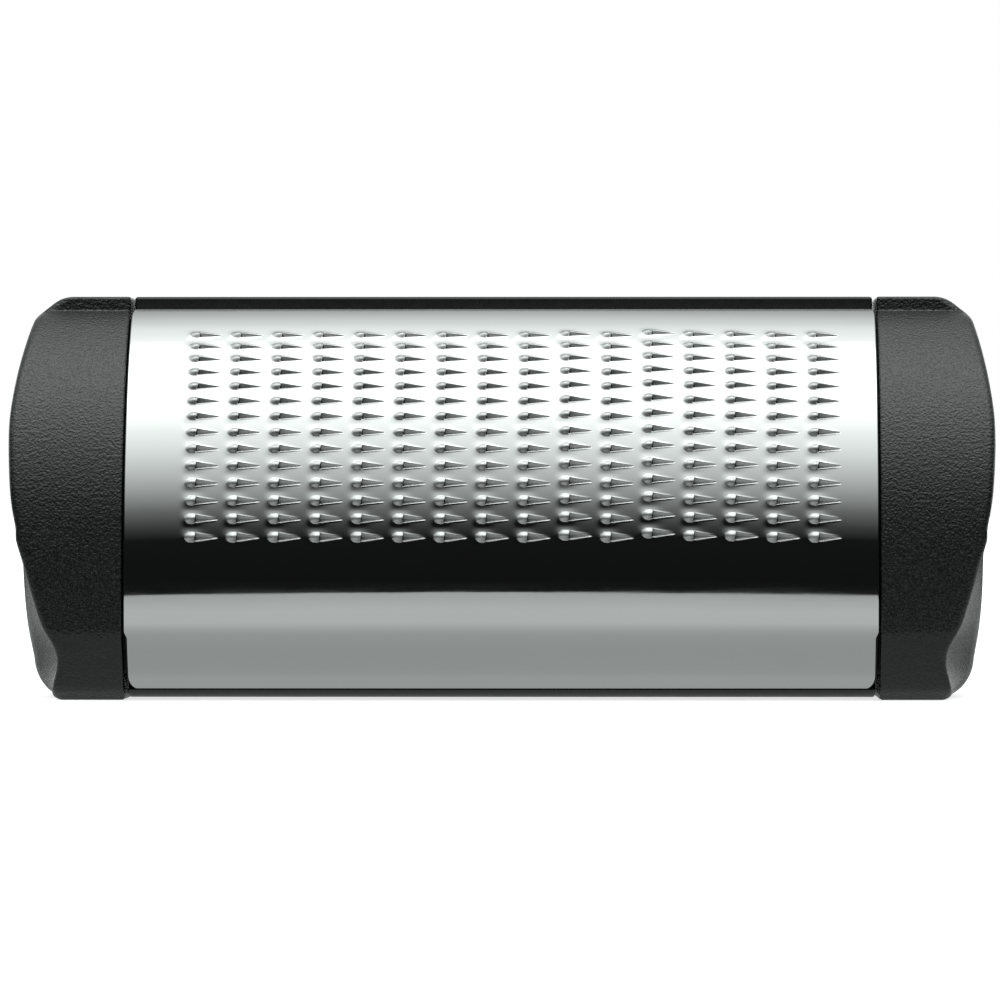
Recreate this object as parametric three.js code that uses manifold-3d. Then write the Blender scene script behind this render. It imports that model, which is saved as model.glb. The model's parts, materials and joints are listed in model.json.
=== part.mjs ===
// Nutmeg grater: a body with a curved steel grater plate, a nutmeg store behind it and a pull-off cap on
// each end. The right cap carries the catch tray, the left cap closes the nutmeg store.
// Millimetres. X runs along the grater, the plate faces -Y, +Z is up, and the caps stand on Z = 0.

import * as THREE from 'three';
import { mergeGeometries, mergeVertices } from 'three/addons/utils/BufferGeometryUtils.js';
import Module from 'manifold-3d';

const wasm = await Module();
wasm.setup();

// Overall. The whole is as long as the body, two caps and the gaps beside it.
const BODY_LENGTH = 90;
const CAP_LENGTH = 14.4;
const DEPTH = 46;
const HEIGHT = 48.7;
const BODY_LIFT = 0.35;

// Clearances
const FIT_GAP = 0.3;
const SLIDE_GAP = 0.6;
const SCREW_GAP = 0.1;

// How far joined solids reach into each other, and how far a cutter reaches past what it cuts
const OVERLAP = 0.5;
const OVERRUN = 1;
const SURFACE_OVERLAP = 0.02;
const SMALLEST_STEP = 0.01;

// Front curve of the cross-section, from the crease at the top down to the toe.
// Angles are degrees above the horizon of the surface's normal.
const CREASE_DROP = 1.5;
const TOP_RADIUS = 18;
const BEND_RADIUS = 6;
const TOE_RADIUS = 4;
const CREASE_ANGLE = 72;
const BEND_ANGLE = -7;
const FLAP_ANGLE = -36;
const FLAP_LENGTH = 5.1;
const PLATE_END_ANGLE = -49;
const BASE_START_ANGLE = -54;
const FOOT_ANGLE = -60;
const TOE_END_ANGLE = -90;
const LIP_LEAN = 0.3;
const LIP_ROUND = 0.5;
const BACK_RADIUS = 5;
const SMALLEST_RADIUS = 0.3;

// Sheet and walls
const PLATE_THICKNESS = 0.5;
const WALL = 2.2;
const CAP_WALL = 2.5;
const FRAME_THICKNESS = 2.4;
const DIVIDER_THICKNESS = 1.2;
const DIVIDER_SETBACK = 0.2;
const TONGUE_HEIGHT = 2;
const MOUTH_MARGIN = 1;

// Catch tray
const TRAY_WALL = 1.2;
const TRAY_FLOOR_Z = 5;
const TRAY_RIM_Z = 15;
const TRAY_TOP_LIP_ANGLE = 60;

// Teeth
const COLUMNS = 16;
const ROWS = 14;
const COLUMN_PITCH = 4.965;
const ROW_STEP = 3.32;
const FIRST_ROW_ANGLE = 52.1;
const FIELD_SHIFT = 0.64;
const TOOTH_LENGTH = 1.45;
const TOOTH_RADIUS = 0.5;
const TOOTH_HEIGHT = 0.44;
const SLOT_LENGTH = 2.3;
const SLOT_WIDTH = 0.84;
const TOOTH_SIDES = 4;

// Window in the plate's carrier
const WINDOW_COLUMNS = 4;
const WINDOW_MARGIN_ANGLE = 2;
const RIB_WIDTH = 1;

// Tabs that hold the plate
const TAB_WIDTH = 8;
const TAB_LENGTH = 2;
const TAB_SPACING = 30;

// Caps
const CAP_CROWN_Z = 30.7;
const CAP_CROWN_RADIUS_UP = 39.5;
const CAP_CROWN_RADIUS_DOWN = 52;
const CAP_LOBE_Z = 14.6;
const CAP_LOBE_INSET = 1.85;
const CAP_LOBE_RADIUS = 42;
const CAP_TOP_ROUND = 6;
const CAP_FOOT_ROUND = 4.5;
const CAP_PLAN_RADIUS = 200;
const CAP_FRONT_ROUND = 1.5;
const CAP_REAR_ROUND = 4;
const SCOOP_RADII = [8.6, 15, 13.5];
const SCOOP_PROUD = 1.5;
const SCOOP_FORWARD = 1;
const SCOOP_Z = 4.2;
const POCKET_LOW_CLEARANCE = 0.7;
const POCKET_HIGH_DEPTH = 4;
const POCKET_TOP_DEPTH = 6;
const POCKET_STEP_Z = 17;
const POCKET_SLOPE_HEIGHT = 5;
const POCKET_TOP_DROP = 13;

// Necks of the caps
const PLUG_DEPTH = 3.5;
const NECK_FACE = 1.5;
const NECK_WALL = 1.4;
const NECK_LENGTH = 8.5;
const SEAL_WIDTH = 0.8;
const SEAL_HEIGHT = 0.75;
const SEAL_PROUD = 0.35;

// Screws
const HEAD_RADIUS = 2;
const HEAD_HEIGHT = 1;
const SHANK_RADIUS = 1;
const CAP_SCREW_INSET = 6;
const CAP_SCREW_SPREAD = 14.5;
const TRAY_SCREW_INSETS = [8.4, 4.4];
const TRAY_SCREW_HEIGHTS = [12, 30];
const BOSS_RADIUS = 2.6;
const BOSS_LENGTH = 6.5;
const BOSS_FLOOR = 0.6;
const BOSS_MARGIN = 1;
const TUBE_RADIUS = 3;
const RECESS_DEPTH = 1.3;
const ROUND_SIDES = 10;

const FRONT = -DEPTH / 2;
const BACK = DEPTH / 2;
const BODY_END = BODY_LENGTH / 2;
const CAP_START = BODY_END + FIT_GAP;
const CAP_END = CAP_START + CAP_LENGTH;
const CARRIER_INSET = PLATE_THICKNESS + FIT_GAP;
const FRAME_INSET = WALL + FIT_GAP;
const NECK_INSET = CAP_WALL + FIT_GAP;
const NECK_START = BODY_END - PLUG_DEPTH;
const NECK_END = NECK_START + NECK_LENGTH;
const NECK_SEAT = NECK_START + NECK_FACE;
const FRAME_OUTER = NECK_START - FIT_GAP;
const FRAME_INNER = FRAME_OUTER - FRAME_THICKNESS;
const POCKET_END = CAP_END - POCKET_HIGH_DEPTH;
const FIRST_CUT_X = FIELD_SHIFT - (COLUMN_PITCH * (COLUMNS - 1)) / 2;

const MATERIALS = {
  steel: { color: 0xc9cac8, roughness: 0.12, metalness: 1 },
  smoothBlack: { color: 0x18191a, roughness: 0.25, metalness: 0 },
  grainedBlack: { color: 0x222324, roughness: 0.55, metalness: 0 },
  insideBlack: { color: 0x202122, roughness: 0.45, metalness: 0 },
  trayGrey: { color: 0x3a3c3d, roughness: 0.4, metalness: 0 },
  rubber: { color: 0x151515, roughness: 0.8, metalness: 0 },
  screwSteel: { color: 0xa8a9aa, roughness: 0.3, metalness: 1 },
};

const grater = new THREE.Group();

// Adds a finished solid to the grater as a named mesh
function addPiece(name, body, finish) {
  const data = body.getMesh();
  const geometry = new THREE.BufferGeometry();
  geometry.setAttribute('position', new THREE.BufferAttribute(data.vertProperties, 3));
  geometry.setIndex(new THREE.BufferAttribute(data.triVerts, 1));
  geometry.computeVertexNormals();
  const mesh = new THREE.Mesh(geometry, new THREE.MeshStandardMaterial(MATERIALS[finish]));
  mesh.name = name;
  grater.add(mesh);
}

// Adds alike pieces, numbered from 1
function addPieces(name, bodies, finish) {
  bodies.forEach((body, i) => addPiece(`${name}_${i + 1}`, body, finish));
}

function solidOf(geometry) {
  geometry.deleteAttribute('normal');
  geometry.deleteAttribute('uv');
  const merged = mergeVertices(geometry, 1e-5);
  const mesh = new wasm.Mesh({
    numProp: 3,
    vertProperties: Float32Array.from(merged.attributes.position.array),
    triVerts: Uint32Array.from(merged.index.array),
  });
  return new wasm.Manifold(mesh);
}

// Closed outline of {a, b} points pushed along a third axis between two places
function extrudeOutline(points, low, high, basis) {
  const shape = new THREE.Shape(points.map((p) => new THREE.Vector2(p.a, p.b)));
  const geometry = new THREE.ExtrudeGeometry(shape, { depth: high - low, bevelEnabled: false });
  geometry.translate(0, 0, low);
  geometry.applyMatrix4(basis);
  return solidOf(geometry);
}

const axisX = new THREE.Vector3(1, 0, 0);
const axisY = new THREE.Vector3(0, 1, 0);
const axisZ = new THREE.Vector3(0, 0, 1);
const alongX = new THREE.Matrix4().makeBasis(axisY, axisZ, axisX);
const alongMinusY = new THREE.Matrix4().makeBasis(axisX, axisZ, axisY.clone().negate());
const alongZ = new THREE.Matrix4().makeBasis(axisX, axisY, axisZ);

// Outline in Y and Z, pushed along X
function prismX(points, x0, x1) {
  return extrudeOutline(points, Math.min(x0, x1), Math.max(x0, x1), alongX);
}

function block(x0, x1, y0, y1, z0, z1) {
  const geometry = new THREE.BoxGeometry(Math.abs(x1 - x0), y1 - y0, z1 - z0);
  geometry.translate((x0 + x1) / 2, (y0 + y1) / 2, (z0 + z1) / 2);
  return solidOf(geometry);
}

function rodX(radius, x0, x1, y, z) {
  const geometry = new THREE.CylinderGeometry(radius, radius, Math.abs(x1 - x0), ROUND_SIDES);
  geometry.rotateZ(Math.PI / 2);
  geometry.translate((x0 + x1) / 2, y, z);
  return solidOf(geometry);
}

function rodZ(radius, z0, z1, x, y) {
  const geometry = new THREE.CylinderGeometry(radius, radius, z1 - z0, ROUND_SIDES);
  geometry.rotateX(Math.PI / 2);
  geometry.translate(x, y, (z0 + z1) / 2);
  return solidOf(geometry);
}

function joinAll(solids) {
  return solids.reduce((whole, next) => whole.add(next));
}

const radians = THREE.MathUtils.degToRad;

// Point of an arc whose normal stands at the given angle, moved inwards by inset
function arcPoint(centre, radius, angle) {
  const a = radians(angle);
  return { a: centre.a - radius * Math.cos(a), b: centre.b + radius * Math.sin(a) };
}

// The centre of an arc that carries on without a corner from another arc at the given angle
function nextCentre(centre, radius, nextRadius, angle) {
  return arcPoint(centre, radius - nextRadius, angle);
}

// How far an arc climbs between two angles
function climb(radius, lower, upper) {
  return radius * (Math.sin(radians(upper)) - Math.sin(radians(lower)));
}

const rowsTop = FIRST_ROW_ANGLE + ROW_STEP / 2;
const rowsBottom = rowsTop - ROWS * ROW_STEP;
const flapClimb = FLAP_LENGTH * Math.cos(radians(FLAP_ANGLE));
const toeClimb = climb(TOE_RADIUS, TOE_END_ANGLE, FLAP_ANGLE);
const bendTopZ = BODY_LIFT + toeClimb + flapClimb + climb(BEND_RADIUS, FLAP_ANGLE, BEND_ANGLE);
const rowsTopZ = HEIGHT - CREASE_DROP - climb(TOP_RADIUS, rowsTop, CREASE_ANGLE);
const mainRadius = (rowsTopZ - bendTopZ) / climb(1, BEND_ANGLE, rowsTop);
const mainCentre = { a: FRONT + mainRadius, b: bendTopZ - climb(mainRadius, 0, BEND_ANGLE) };
const topCentre = nextCentre(mainCentre, mainRadius, TOP_RADIUS, rowsTop);
const bendCentre = nextCentre(mainCentre, mainRadius, BEND_RADIUS, BEND_ANGLE);
const flapTop = arcPoint(bendCentre, BEND_RADIUS, FLAP_ANGLE);
const flapSlope = radians(FLAP_ANGLE);
const flapFoot = {
  a: flapTop.a - FLAP_LENGTH * Math.sin(flapSlope),
  b: flapTop.b - FLAP_LENGTH * Math.cos(flapSlope),
};
const toeCentre = arcPoint(flapFoot, -TOE_RADIUS, FLAP_ANGLE);

const FRONT_ARCS = [
  { centre: topCentre, radius: TOP_RADIUS, from: CREASE_ANGLE, to: rowsTop, steps: 4 },
  { centre: mainCentre, radius: mainRadius, from: rowsTop, to: rowsBottom, steps: ROWS },
  { centre: mainCentre, radius: mainRadius, from: rowsBottom, to: BEND_ANGLE, steps: 3 },
  { centre: bendCentre, radius: BEND_RADIUS, from: BEND_ANGLE, to: FLAP_ANGLE, steps: 4 },
  { centre: toeCentre, radius: TOE_RADIUS, from: FLAP_ANGLE, to: TOE_END_ANGLE, steps: 6 },
];

// The front curve at an inset from the outside, from the upper angle down to the lower one.
// A fine curve has one facet for each row of teeth, and a coarse one half as many.
function frontCurve(inset, upper = CREASE_ANGLE, lower = TOE_END_ANGLE, fine = false) {
  const points = [];
  for (const arc of FRONT_ARCS) {
    const top = Math.min(arc.from, upper);
    const bottom = Math.max(arc.to, lower);
    if (top <= bottom) continue;
    if (arc.radius - inset < SMALLEST_RADIUS) {
      const half = radians((arc.from - arc.to) / 2);
      points.push(arcPoint(arc.centre, (arc.radius - inset) / Math.cos(half), (arc.from + arc.to) / 2));
      continue;
    }
    const angles = [top];
    const steps = fine ? arc.steps : Math.ceil(arc.steps / 2);
    for (let i = 1; i < steps; i += 1) {
      const angle = arc.from + ((arc.to - arc.from) * i) / steps;
      if (angle < top - SMALLEST_STEP && angle > bottom + SMALLEST_STEP) angles.push(angle);
    }
    angles.push(bottom);
    for (const angle of angles) {
      const point = arcPoint(arc.centre, arc.radius - inset, angle);
      const last = points.at(-1);
      if (!last || Math.hypot(point.a - last.a, point.b - last.b) > SMALLEST_STEP) points.push(point);
    }
  }
  return points;
}

// A strip of the front curve between two insets
function frontStrip(outer, inner, upper, lower) {
  return [...frontCurve(outer, upper, lower, true), ...frontCurve(inner, upper, lower, true).reverse()];
}

function cornerPoints(centreA, centreB, radius, fromAngle, steps = 4) {
  const points = [];
  for (let i = 0; i <= steps; i += 1) {
    const a = radians(fromAngle + (90 * i) / steps);
    points.push({ a: centreA + radius * Math.cos(a), b: centreB + radius * Math.sin(a) });
  }
  return points;
}

// Rear of the section: up the back from the floor to the roof
function backCurve(inset, floor) {
  const radius = Math.max(BACK_RADIUS - inset, SMALLEST_RADIUS);
  const side = BACK - inset - radius;
  return [
    ...cornerPoints(side, floor + inset + radius, radius, -90),
    ...cornerPoints(side, HEIGHT - inset - radius, radius, 0),
  ];
}

const crease = frontCurve(0)[0];
const DIVIDER_FRONT = crease.a + DIVIDER_SETBACK;
const STORE_FRONT = DIVIDER_FRONT + DIVIDER_THICKNESS;
const TRAY_BACK = DIVIDER_FRONT - SLIDE_GAP;
const lipPoints = [
  { a: crease.a + LIP_LEAN + LIP_ROUND, b: HEIGHT },
  { a: crease.a + LIP_LEAN, b: HEIGHT - LIP_ROUND },
];

const roofStep = frontCurve(WALL)[0].a + FIT_GAP;

// Outline of the hollow inside the body, at an inset from the outside
function innerOutline(inset) {
  const front = frontCurve(inset);
  const corner = { a: front[0].a + FIT_GAP, b: front[0].b };
  const step = { a: roofStep + inset - WALL, b: HEIGHT - inset };
  return [...front, ...backCurve(inset, BODY_LIFT), step, corner];
}

function ring(outerInset, innerInset, x0, x1) {
  const overrun = Math.sign(x1 - x0) * OVERRUN;
  const hollow = prismX(innerOutline(innerInset), x0 - overrun, x1 + overrun);
  return prismX(innerOutline(outerInset), x0, x1).subtract(hollow);
}

// Moves a shape from along X, up the front curve and outwards, to a place on the curve
function placeOnCurve(geometry, arc, radius, angle, x) {
  const a = radians(angle);
  const out = new THREE.Vector3(0, -Math.cos(a), Math.sin(a));
  const up = new THREE.Vector3(0, Math.sin(a), Math.cos(a));
  const point = arcPoint(arc.centre, radius, angle);
  const matrix = new THREE.Matrix4().makeBasis(axisX, up, out);
  matrix.setPosition(x, point.a, point.b);
  return geometry.clone().applyMatrix4(matrix);
}

// Flat-headed screw with its head's underside at a point and its shank pointing along the given direction
function placeScrew(length, x, y, z, direction) {
  const shankDirection = new THREE.Vector3(...direction);
  const turn = new THREE.Quaternion().setFromUnitVectors(axisZ.clone().negate(), shankDirection);
  const matrix = new THREE.Matrix4().compose(new THREE.Vector3(x, y, z), turn, new THREE.Vector3(1, 1, 1));
  const shank = rodZ(SHANK_RADIUS, -length, 0, 0, 0);
  return shank.add(rodZ(HEAD_RADIUS, 0, HEAD_HEIGHT, 0, 0)).transform(matrix.elements);
}

// Length of a screw that goes through a wall of the given thickness into a boss
function screwLength(wall) {
  return wall + BOSS_LENGTH - BOSS_FLOOR;
}

function toothPlaces() {
  const places = [];
  for (let row = 0; row < ROWS; row += 1) {
    for (let column = 0; column < COLUMNS; column += 1) {
      places.push({ angle: FIRST_ROW_ANGLE - row * ROW_STEP, x: FIRST_CUT_X + column * COLUMN_PITCH });
    }
  }
  return places;
}

// Curved sheet with a raised tooth and an opening at each place
function makePlate() {
  const sheet = prismX(frontStrip(0, PLATE_THICKNESS, CREASE_ANGLE, PLATE_END_ANGLE), -BODY_END, BODY_END);
  const tooth = new THREE.ConeGeometry(TOOTH_RADIUS, TOOTH_LENGTH, TOOTH_SIDES);
  tooth.rotateZ(Math.PI / 2);
  tooth.translate(-TOOTH_LENGTH / 2, 0, 0);
  tooth.scale(1, 1, TOOTH_HEIGHT / TOOTH_RADIUS);
  const slotShape = new THREE.Shape([
    new THREE.Vector2(SMALLEST_STEP, -SLOT_WIDTH / 2),
    new THREE.Vector2(SLOT_LENGTH, 0),
    new THREE.Vector2(SMALLEST_STEP, SLOT_WIDTH / 2),
  ]);
  const slot = new THREE.ExtrudeGeometry(slotShape, { depth: 4 * PLATE_THICKNESS, bevelEnabled: false });
  slot.translate(0, 0, -2 * PLATE_THICKNESS);
  const arc = FRONT_ARCS[1];
  const facetRadius = mainRadius * Math.cos(radians(ROW_STEP / 2));
  const place = (shape) => {
    const copies = toothPlaces().map((p) => placeOnCurve(shape, arc, facetRadius, p.angle, p.x));
    return solidOf(mergeGeometries(copies));
  };
  return joinAll([sheet, place(tooth), ...plateTabs(0)]).subtract(place(slot));
}

// Tabs folded inwards at both long edges. With a clearance they are the notches that take them.
function plateTabs(clearance) {
  const tabs = [];
  const ends = [
    { arc: FRONT_ARCS[0], angle: CREASE_ANGLE, side: -1 },
    { arc: FRONT_ARCS[4], angle: PLATE_END_ANGLE, side: 1 },
  ];
  for (const end of ends) {
    const width = TAB_WIDTH + 2 * clearance;
    const thickness = PLATE_THICKNESS + clearance;
    const shape = new THREE.BoxGeometry(width, thickness, TAB_LENGTH + clearance);
    const overhang = clearance > 0 ? clearance / 2 : 0;
    shape.translate(0, end.side * (thickness / 2 - overhang), -(TAB_LENGTH + clearance) / 2);
    for (const x of [-TAB_SPACING, 0, TAB_SPACING]) {
      tabs.push(solidOf(placeOnCurve(shape, end.arc, end.arc.radius - SURFACE_OVERLAP, end.angle, x)));
    }
  }
  return tabs;
}

// Ribbed shell that backs the plate
function makeCarrier() {
  let carrier = prismX(frontStrip(CARRIER_INSET, WALL, CREASE_ANGLE, PLATE_END_ANGLE), -BODY_END, BODY_END);
  const upper = rowsTop + WINDOW_MARGIN_ANGLE;
  const lower = rowsBottom - WINDOW_MARGIN_ANGLE;
  const opening = frontStrip(0, 2 * WALL, upper, lower);
  const groupLength = WINDOW_COLUMNS * COLUMN_PITCH;
  const ribX = FIRST_CUT_X - (COLUMN_PITCH - SLOT_LENGTH + TOOTH_LENGTH) / 2;
  for (let group = 0; group < COLUMNS / WINDOW_COLUMNS; group += 1) {
    const x0 = ribX + group * groupLength + RIB_WIDTH / 2;
    carrier = carrier.subtract(prismX(opening, x0, x0 + groupLength - RIB_WIDTH));
  }
  return carrier.subtract(joinAll(plateTabs(FIT_GAP)));
}

// Places of the screws, as Y and Z or X and Y
const roofBossZ = HEIGHT - WALL - BOSS_RADIUS - FIT_GAP;
const ROOF_SCREWS = [
  { y: STORE_FRONT + BOSS_RADIUS + FIT_GAP, z: roofBossZ },
  { y: BACK - WALL - BOSS_RADIUS - BOSS_MARGIN, z: roofBossZ },
];
const baseRear = BACK - BACK_RADIUS - BOSS_MARGIN;
const baseBossX = FRAME_INNER - BOSS_RADIUS;
const BASE_SCREW_Y = [STORE_FRONT + BOSS_RADIUS + BOSS_MARGIN, baseRear - BOSS_RADIUS - BOSS_MARGIN];
const capScrewFront = STORE_FRONT + CAP_SCREW_INSET;
const CAP_SCREWS = [
  { y: capScrewFront, z: HEIGHT / 2 - CAP_SCREW_SPREAD },
  { y: BACK - WALL - CAP_SCREW_INSET, z: HEIGHT / 2 },
  { y: capScrewFront, z: HEIGHT / 2 + CAP_SCREW_SPREAD },
];
const TRAY_SCREWS = TRAY_SCREW_INSETS.map((inset, i) => ({ y: TRAY_BACK - inset, z: TRAY_SCREW_HEIGHTS[i] }));

// Roof, back wall and the corner below it
function makeRearShell() {
  const floor = BODY_LIFT;
  const outline = [
    ...lipPoints,
    { a: crease.a, b: crease.b + FIT_GAP },
    { a: roofStep, b: crease.b + FIT_GAP },
    { a: roofStep, b: HEIGHT - WALL },
    ...backCurve(WALL, floor).reverse(),
    { a: baseRear + FIT_GAP, b: floor + WALL },
    { a: baseRear + FIT_GAP, b: floor },
    ...backCurve(0, floor),
  ];
  const bosses = [];
  const holes = [];
  for (const side of [-1, 1]) {
    const near = side * (FRAME_INNER - FIT_GAP);
    const far = near - side * BOSS_LENGTH;
    for (const screw of ROOF_SCREWS) {
      const { y, z } = screw;
      bosses.push(rodX(BOSS_RADIUS, far, near, y, z));
      bosses.push(block(far, near, y - BOSS_RADIUS, y + BOSS_RADIUS, z, HEIGHT - WALL / 2));
      holes.push(rodX(SHANK_RADIUS + SCREW_GAP, far + side * BOSS_FLOOR, near + side * OVERRUN, y, z));
    }
  }
  return joinAll([prismX(outline, -BODY_END, BODY_END), ...bosses]).subtract(joinAll(holes));
}

// Floor of the body, with a tongue behind the carrier's lower edge
function makeBasePlate() {
  const top = BODY_LIFT + WALL;
  const toe = frontCurve(0, BASE_START_ANGLE, TOE_END_ANGLE, true);
  const toeInner = frontCurve(WALL, BASE_START_ANGLE, TOE_END_ANGLE, true)[0];
  const floor = prismX(
    [...toe, { a: baseRear, b: BODY_LIFT }, { a: baseRear, b: top }, { a: toeInner.a, b: top }, toeInner],
    -BODY_END,
    BODY_END,
  );
  const tongueFront = toeInner.a + FIT_GAP;
  const tongueBack = tongueFront + DIVIDER_THICKNESS;
  const tongueX = FRAME_INNER - FIT_GAP;
  const tongue = block(-tongueX, tongueX, tongueFront, tongueBack, top - OVERLAP, top + TONGUE_HEIGHT);
  const recessTop = BODY_LIFT + RECESS_DEPTH;
  const cuts = [];
  for (const side of [-1, 1]) {
    for (const y of BASE_SCREW_Y) {
      cuts.push(rodZ(HEAD_RADIUS + FIT_GAP, BODY_LIFT - OVERRUN, recessTop, side * baseBossX, y));
      cuts.push(rodZ(SHANK_RADIUS + SCREW_GAP, BODY_LIFT, top + OVERRUN, side * baseBossX, y));
    }
  }
  return floor.add(tongue).subtract(joinAll(cuts));
}

// Wall between the powder chamber and the nutmeg store
function makeDivider() {
  const reach = FRAME_INNER - FIT_GAP;
  const wall = block(-reach, reach, DIVIDER_FRONT, STORE_FRONT, 0, HEIGHT);
  return wall.intersect(prismX(innerOutline(FRAME_INSET), -BODY_END, BODY_END));
}

// End frame of the body: -1 is the left one, with the store's mouth, and 1 the right one, beside the tray
function makeEndFrame(side) {
  let frame = prismX(innerOutline(FRAME_INSET), side * FRAME_INNER, side * FRAME_OUTER);
  const inner = side * (FRAME_INNER - OVERRUN);
  const outer = side * (FRAME_OUTER + OVERRUN);
  const bossBottom = BODY_LIFT + FRAME_INSET;
  const bossTop = bossBottom + BOSS_LENGTH;
  if (side > 0) {
    frame = frame.subtract(block(inner, outer, FRONT, DIVIDER_FRONT, 0, HEIGHT));
  } else {
    const mouthBottom = bossTop + MOUTH_MARGIN;
    const mouthTop = roofBossZ - BOSS_RADIUS - MOUTH_MARGIN;
    const mouthFront = STORE_FRONT + MOUTH_MARGIN;
    const mouthBack = BACK - WALL - BOSS_RADIUS;
    frame = frame.subtract(block(inner, outer, mouthFront, mouthBack, mouthBottom, mouthTop));
  }
  for (const y of BASE_SCREW_Y) {
    const x0 = side * (baseBossX - BOSS_RADIUS);
    const x1 = side * (FRAME_INNER + OVERLAP);
    const boss = block(x0, x1, y - BOSS_RADIUS, y + BOSS_RADIUS, bossBottom, bossTop);
    const holeTop = bossTop - BOSS_FLOOR;
    frame = frame.add(boss.intersect(prismX(innerOutline(FRAME_INSET), x0, side * FRAME_OUTER)));
    frame = frame.subtract(rodZ(SHANK_RADIUS + SCREW_GAP, bossBottom - OVERRUN, holeTop, side * baseBossX, y));
  }
  const recess = side * (FRAME_OUTER - RECESS_DEPTH);
  for (const screw of ROOF_SCREWS) {
    frame = frame.subtract(rodX(HEAD_RADIUS + FIT_GAP, recess, outer, screw.y, screw.z));
    frame = frame.subtract(rodX(SHANK_RADIUS + SCREW_GAP, inner, outer, screw.y, screw.z));
  }
  return frame;
}

function makeFrameScrews(side) {
  const seat = side * (FRAME_OUTER - RECESS_DEPTH + SCREW_GAP);
  const length = screwLength(FRAME_THICKNESS - RECESS_DEPTH);
  return ROOF_SCREWS.map(({ y, z }) => placeScrew(length, seat, y, z, [-side, 0, 0]));
}

function makeBaseScrews() {
  const seat = BODY_LIFT + RECESS_DEPTH - SCREW_GAP;
  const length = screwLength(WALL - RECESS_DEPTH);
  const place = (side) => BASE_SCREW_Y.map((y) => placeScrew(length, side * baseBossX, y, seat, [0, 0, 1]));
  return [-1, 1].flatMap(place);
}

// Points of a bulging line between two places along b, with its outermost point at the crown
function bulge(crownA, crownB, radius, from, to, steps) {
  const points = [];
  for (let i = 1; i < steps; i += 1) {
    const b = from + ((to - from) * i) / steps;
    points.push({ a: crownA - bulgeDrop(radius, b - crownB), b });
  }
  return points;
}

function bulgeDrop(radius, distance) {
  return radius - Math.sqrt(radius ** 2 - distance ** 2);
}

// Outline of a cap's end seen from the front, from the foot up to the top
function capEndOutline() {
  const lobeX = CAP_END - CAP_LOBE_INSET;
  const footX = lobeX - bulgeDrop(CAP_LOBE_RADIUS, CAP_FOOT_ROUND - CAP_LOBE_Z) - CAP_FOOT_ROUND;
  const roundZ = HEIGHT - CAP_TOP_ROUND;
  const topX = CAP_END - bulgeDrop(CAP_CROWN_RADIUS_UP, roundZ - CAP_CROWN_Z) - CAP_TOP_ROUND;
  return [
    ...cornerPoints(footX, CAP_FOOT_ROUND, CAP_FOOT_ROUND, -90),
    ...bulge(lobeX, CAP_LOBE_Z, CAP_LOBE_RADIUS, CAP_FOOT_ROUND, CAP_LOBE_Z, 3),
    ...bulge(CAP_END, CAP_CROWN_Z, CAP_CROWN_RADIUS_DOWN, CAP_LOBE_Z, CAP_CROWN_Z, 5),
    { a: CAP_END, b: CAP_CROWN_Z },
    ...bulge(CAP_END, CAP_CROWN_Z, CAP_CROWN_RADIUS_UP, CAP_CROWN_Z, roundZ, 4),
    ...cornerPoints(topX, roundZ, CAP_TOP_ROUND, 0),
  ];
}

// Outline of a cap seen from above, from its inner edge at the front round to the back
function capPlanOutline() {
  const cornerFront = FRONT + CAP_FRONT_ROUND;
  const cornerBack = BACK - CAP_REAR_ROUND;
  const frontX = CAP_END - bulgeDrop(CAP_PLAN_RADIUS, cornerFront) - CAP_FRONT_ROUND;
  const backX = CAP_END - bulgeDrop(CAP_PLAN_RADIUS, cornerBack) - CAP_REAR_ROUND;
  return [
    { a: CAP_START, b: BACK },
    { a: CAP_START, b: FRONT },
    ...cornerPoints(frontX, cornerFront, CAP_FRONT_ROUND, -90, 3),
    ...bulge(CAP_END, 0, CAP_PLAN_RADIUS, cornerFront, cornerBack, 4),
    ...cornerPoints(backX, cornerBack, CAP_REAR_ROUND, 0),
  ];
}

// Cap section: the body's outside, standing on Z = 0
function capSection() {
  const front = frontCurve(0, CREASE_ANGLE, FOOT_ANGLE, true);
  const last = front.at(-1);
  const slope = radians(FOOT_ANGLE);
  const foot = { a: last.a - (last.b * Math.sin(slope)) / Math.cos(slope), b: 0 };
  return [...lipPoints, ...front, foot, ...backCurve(0, 0)];
}

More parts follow.
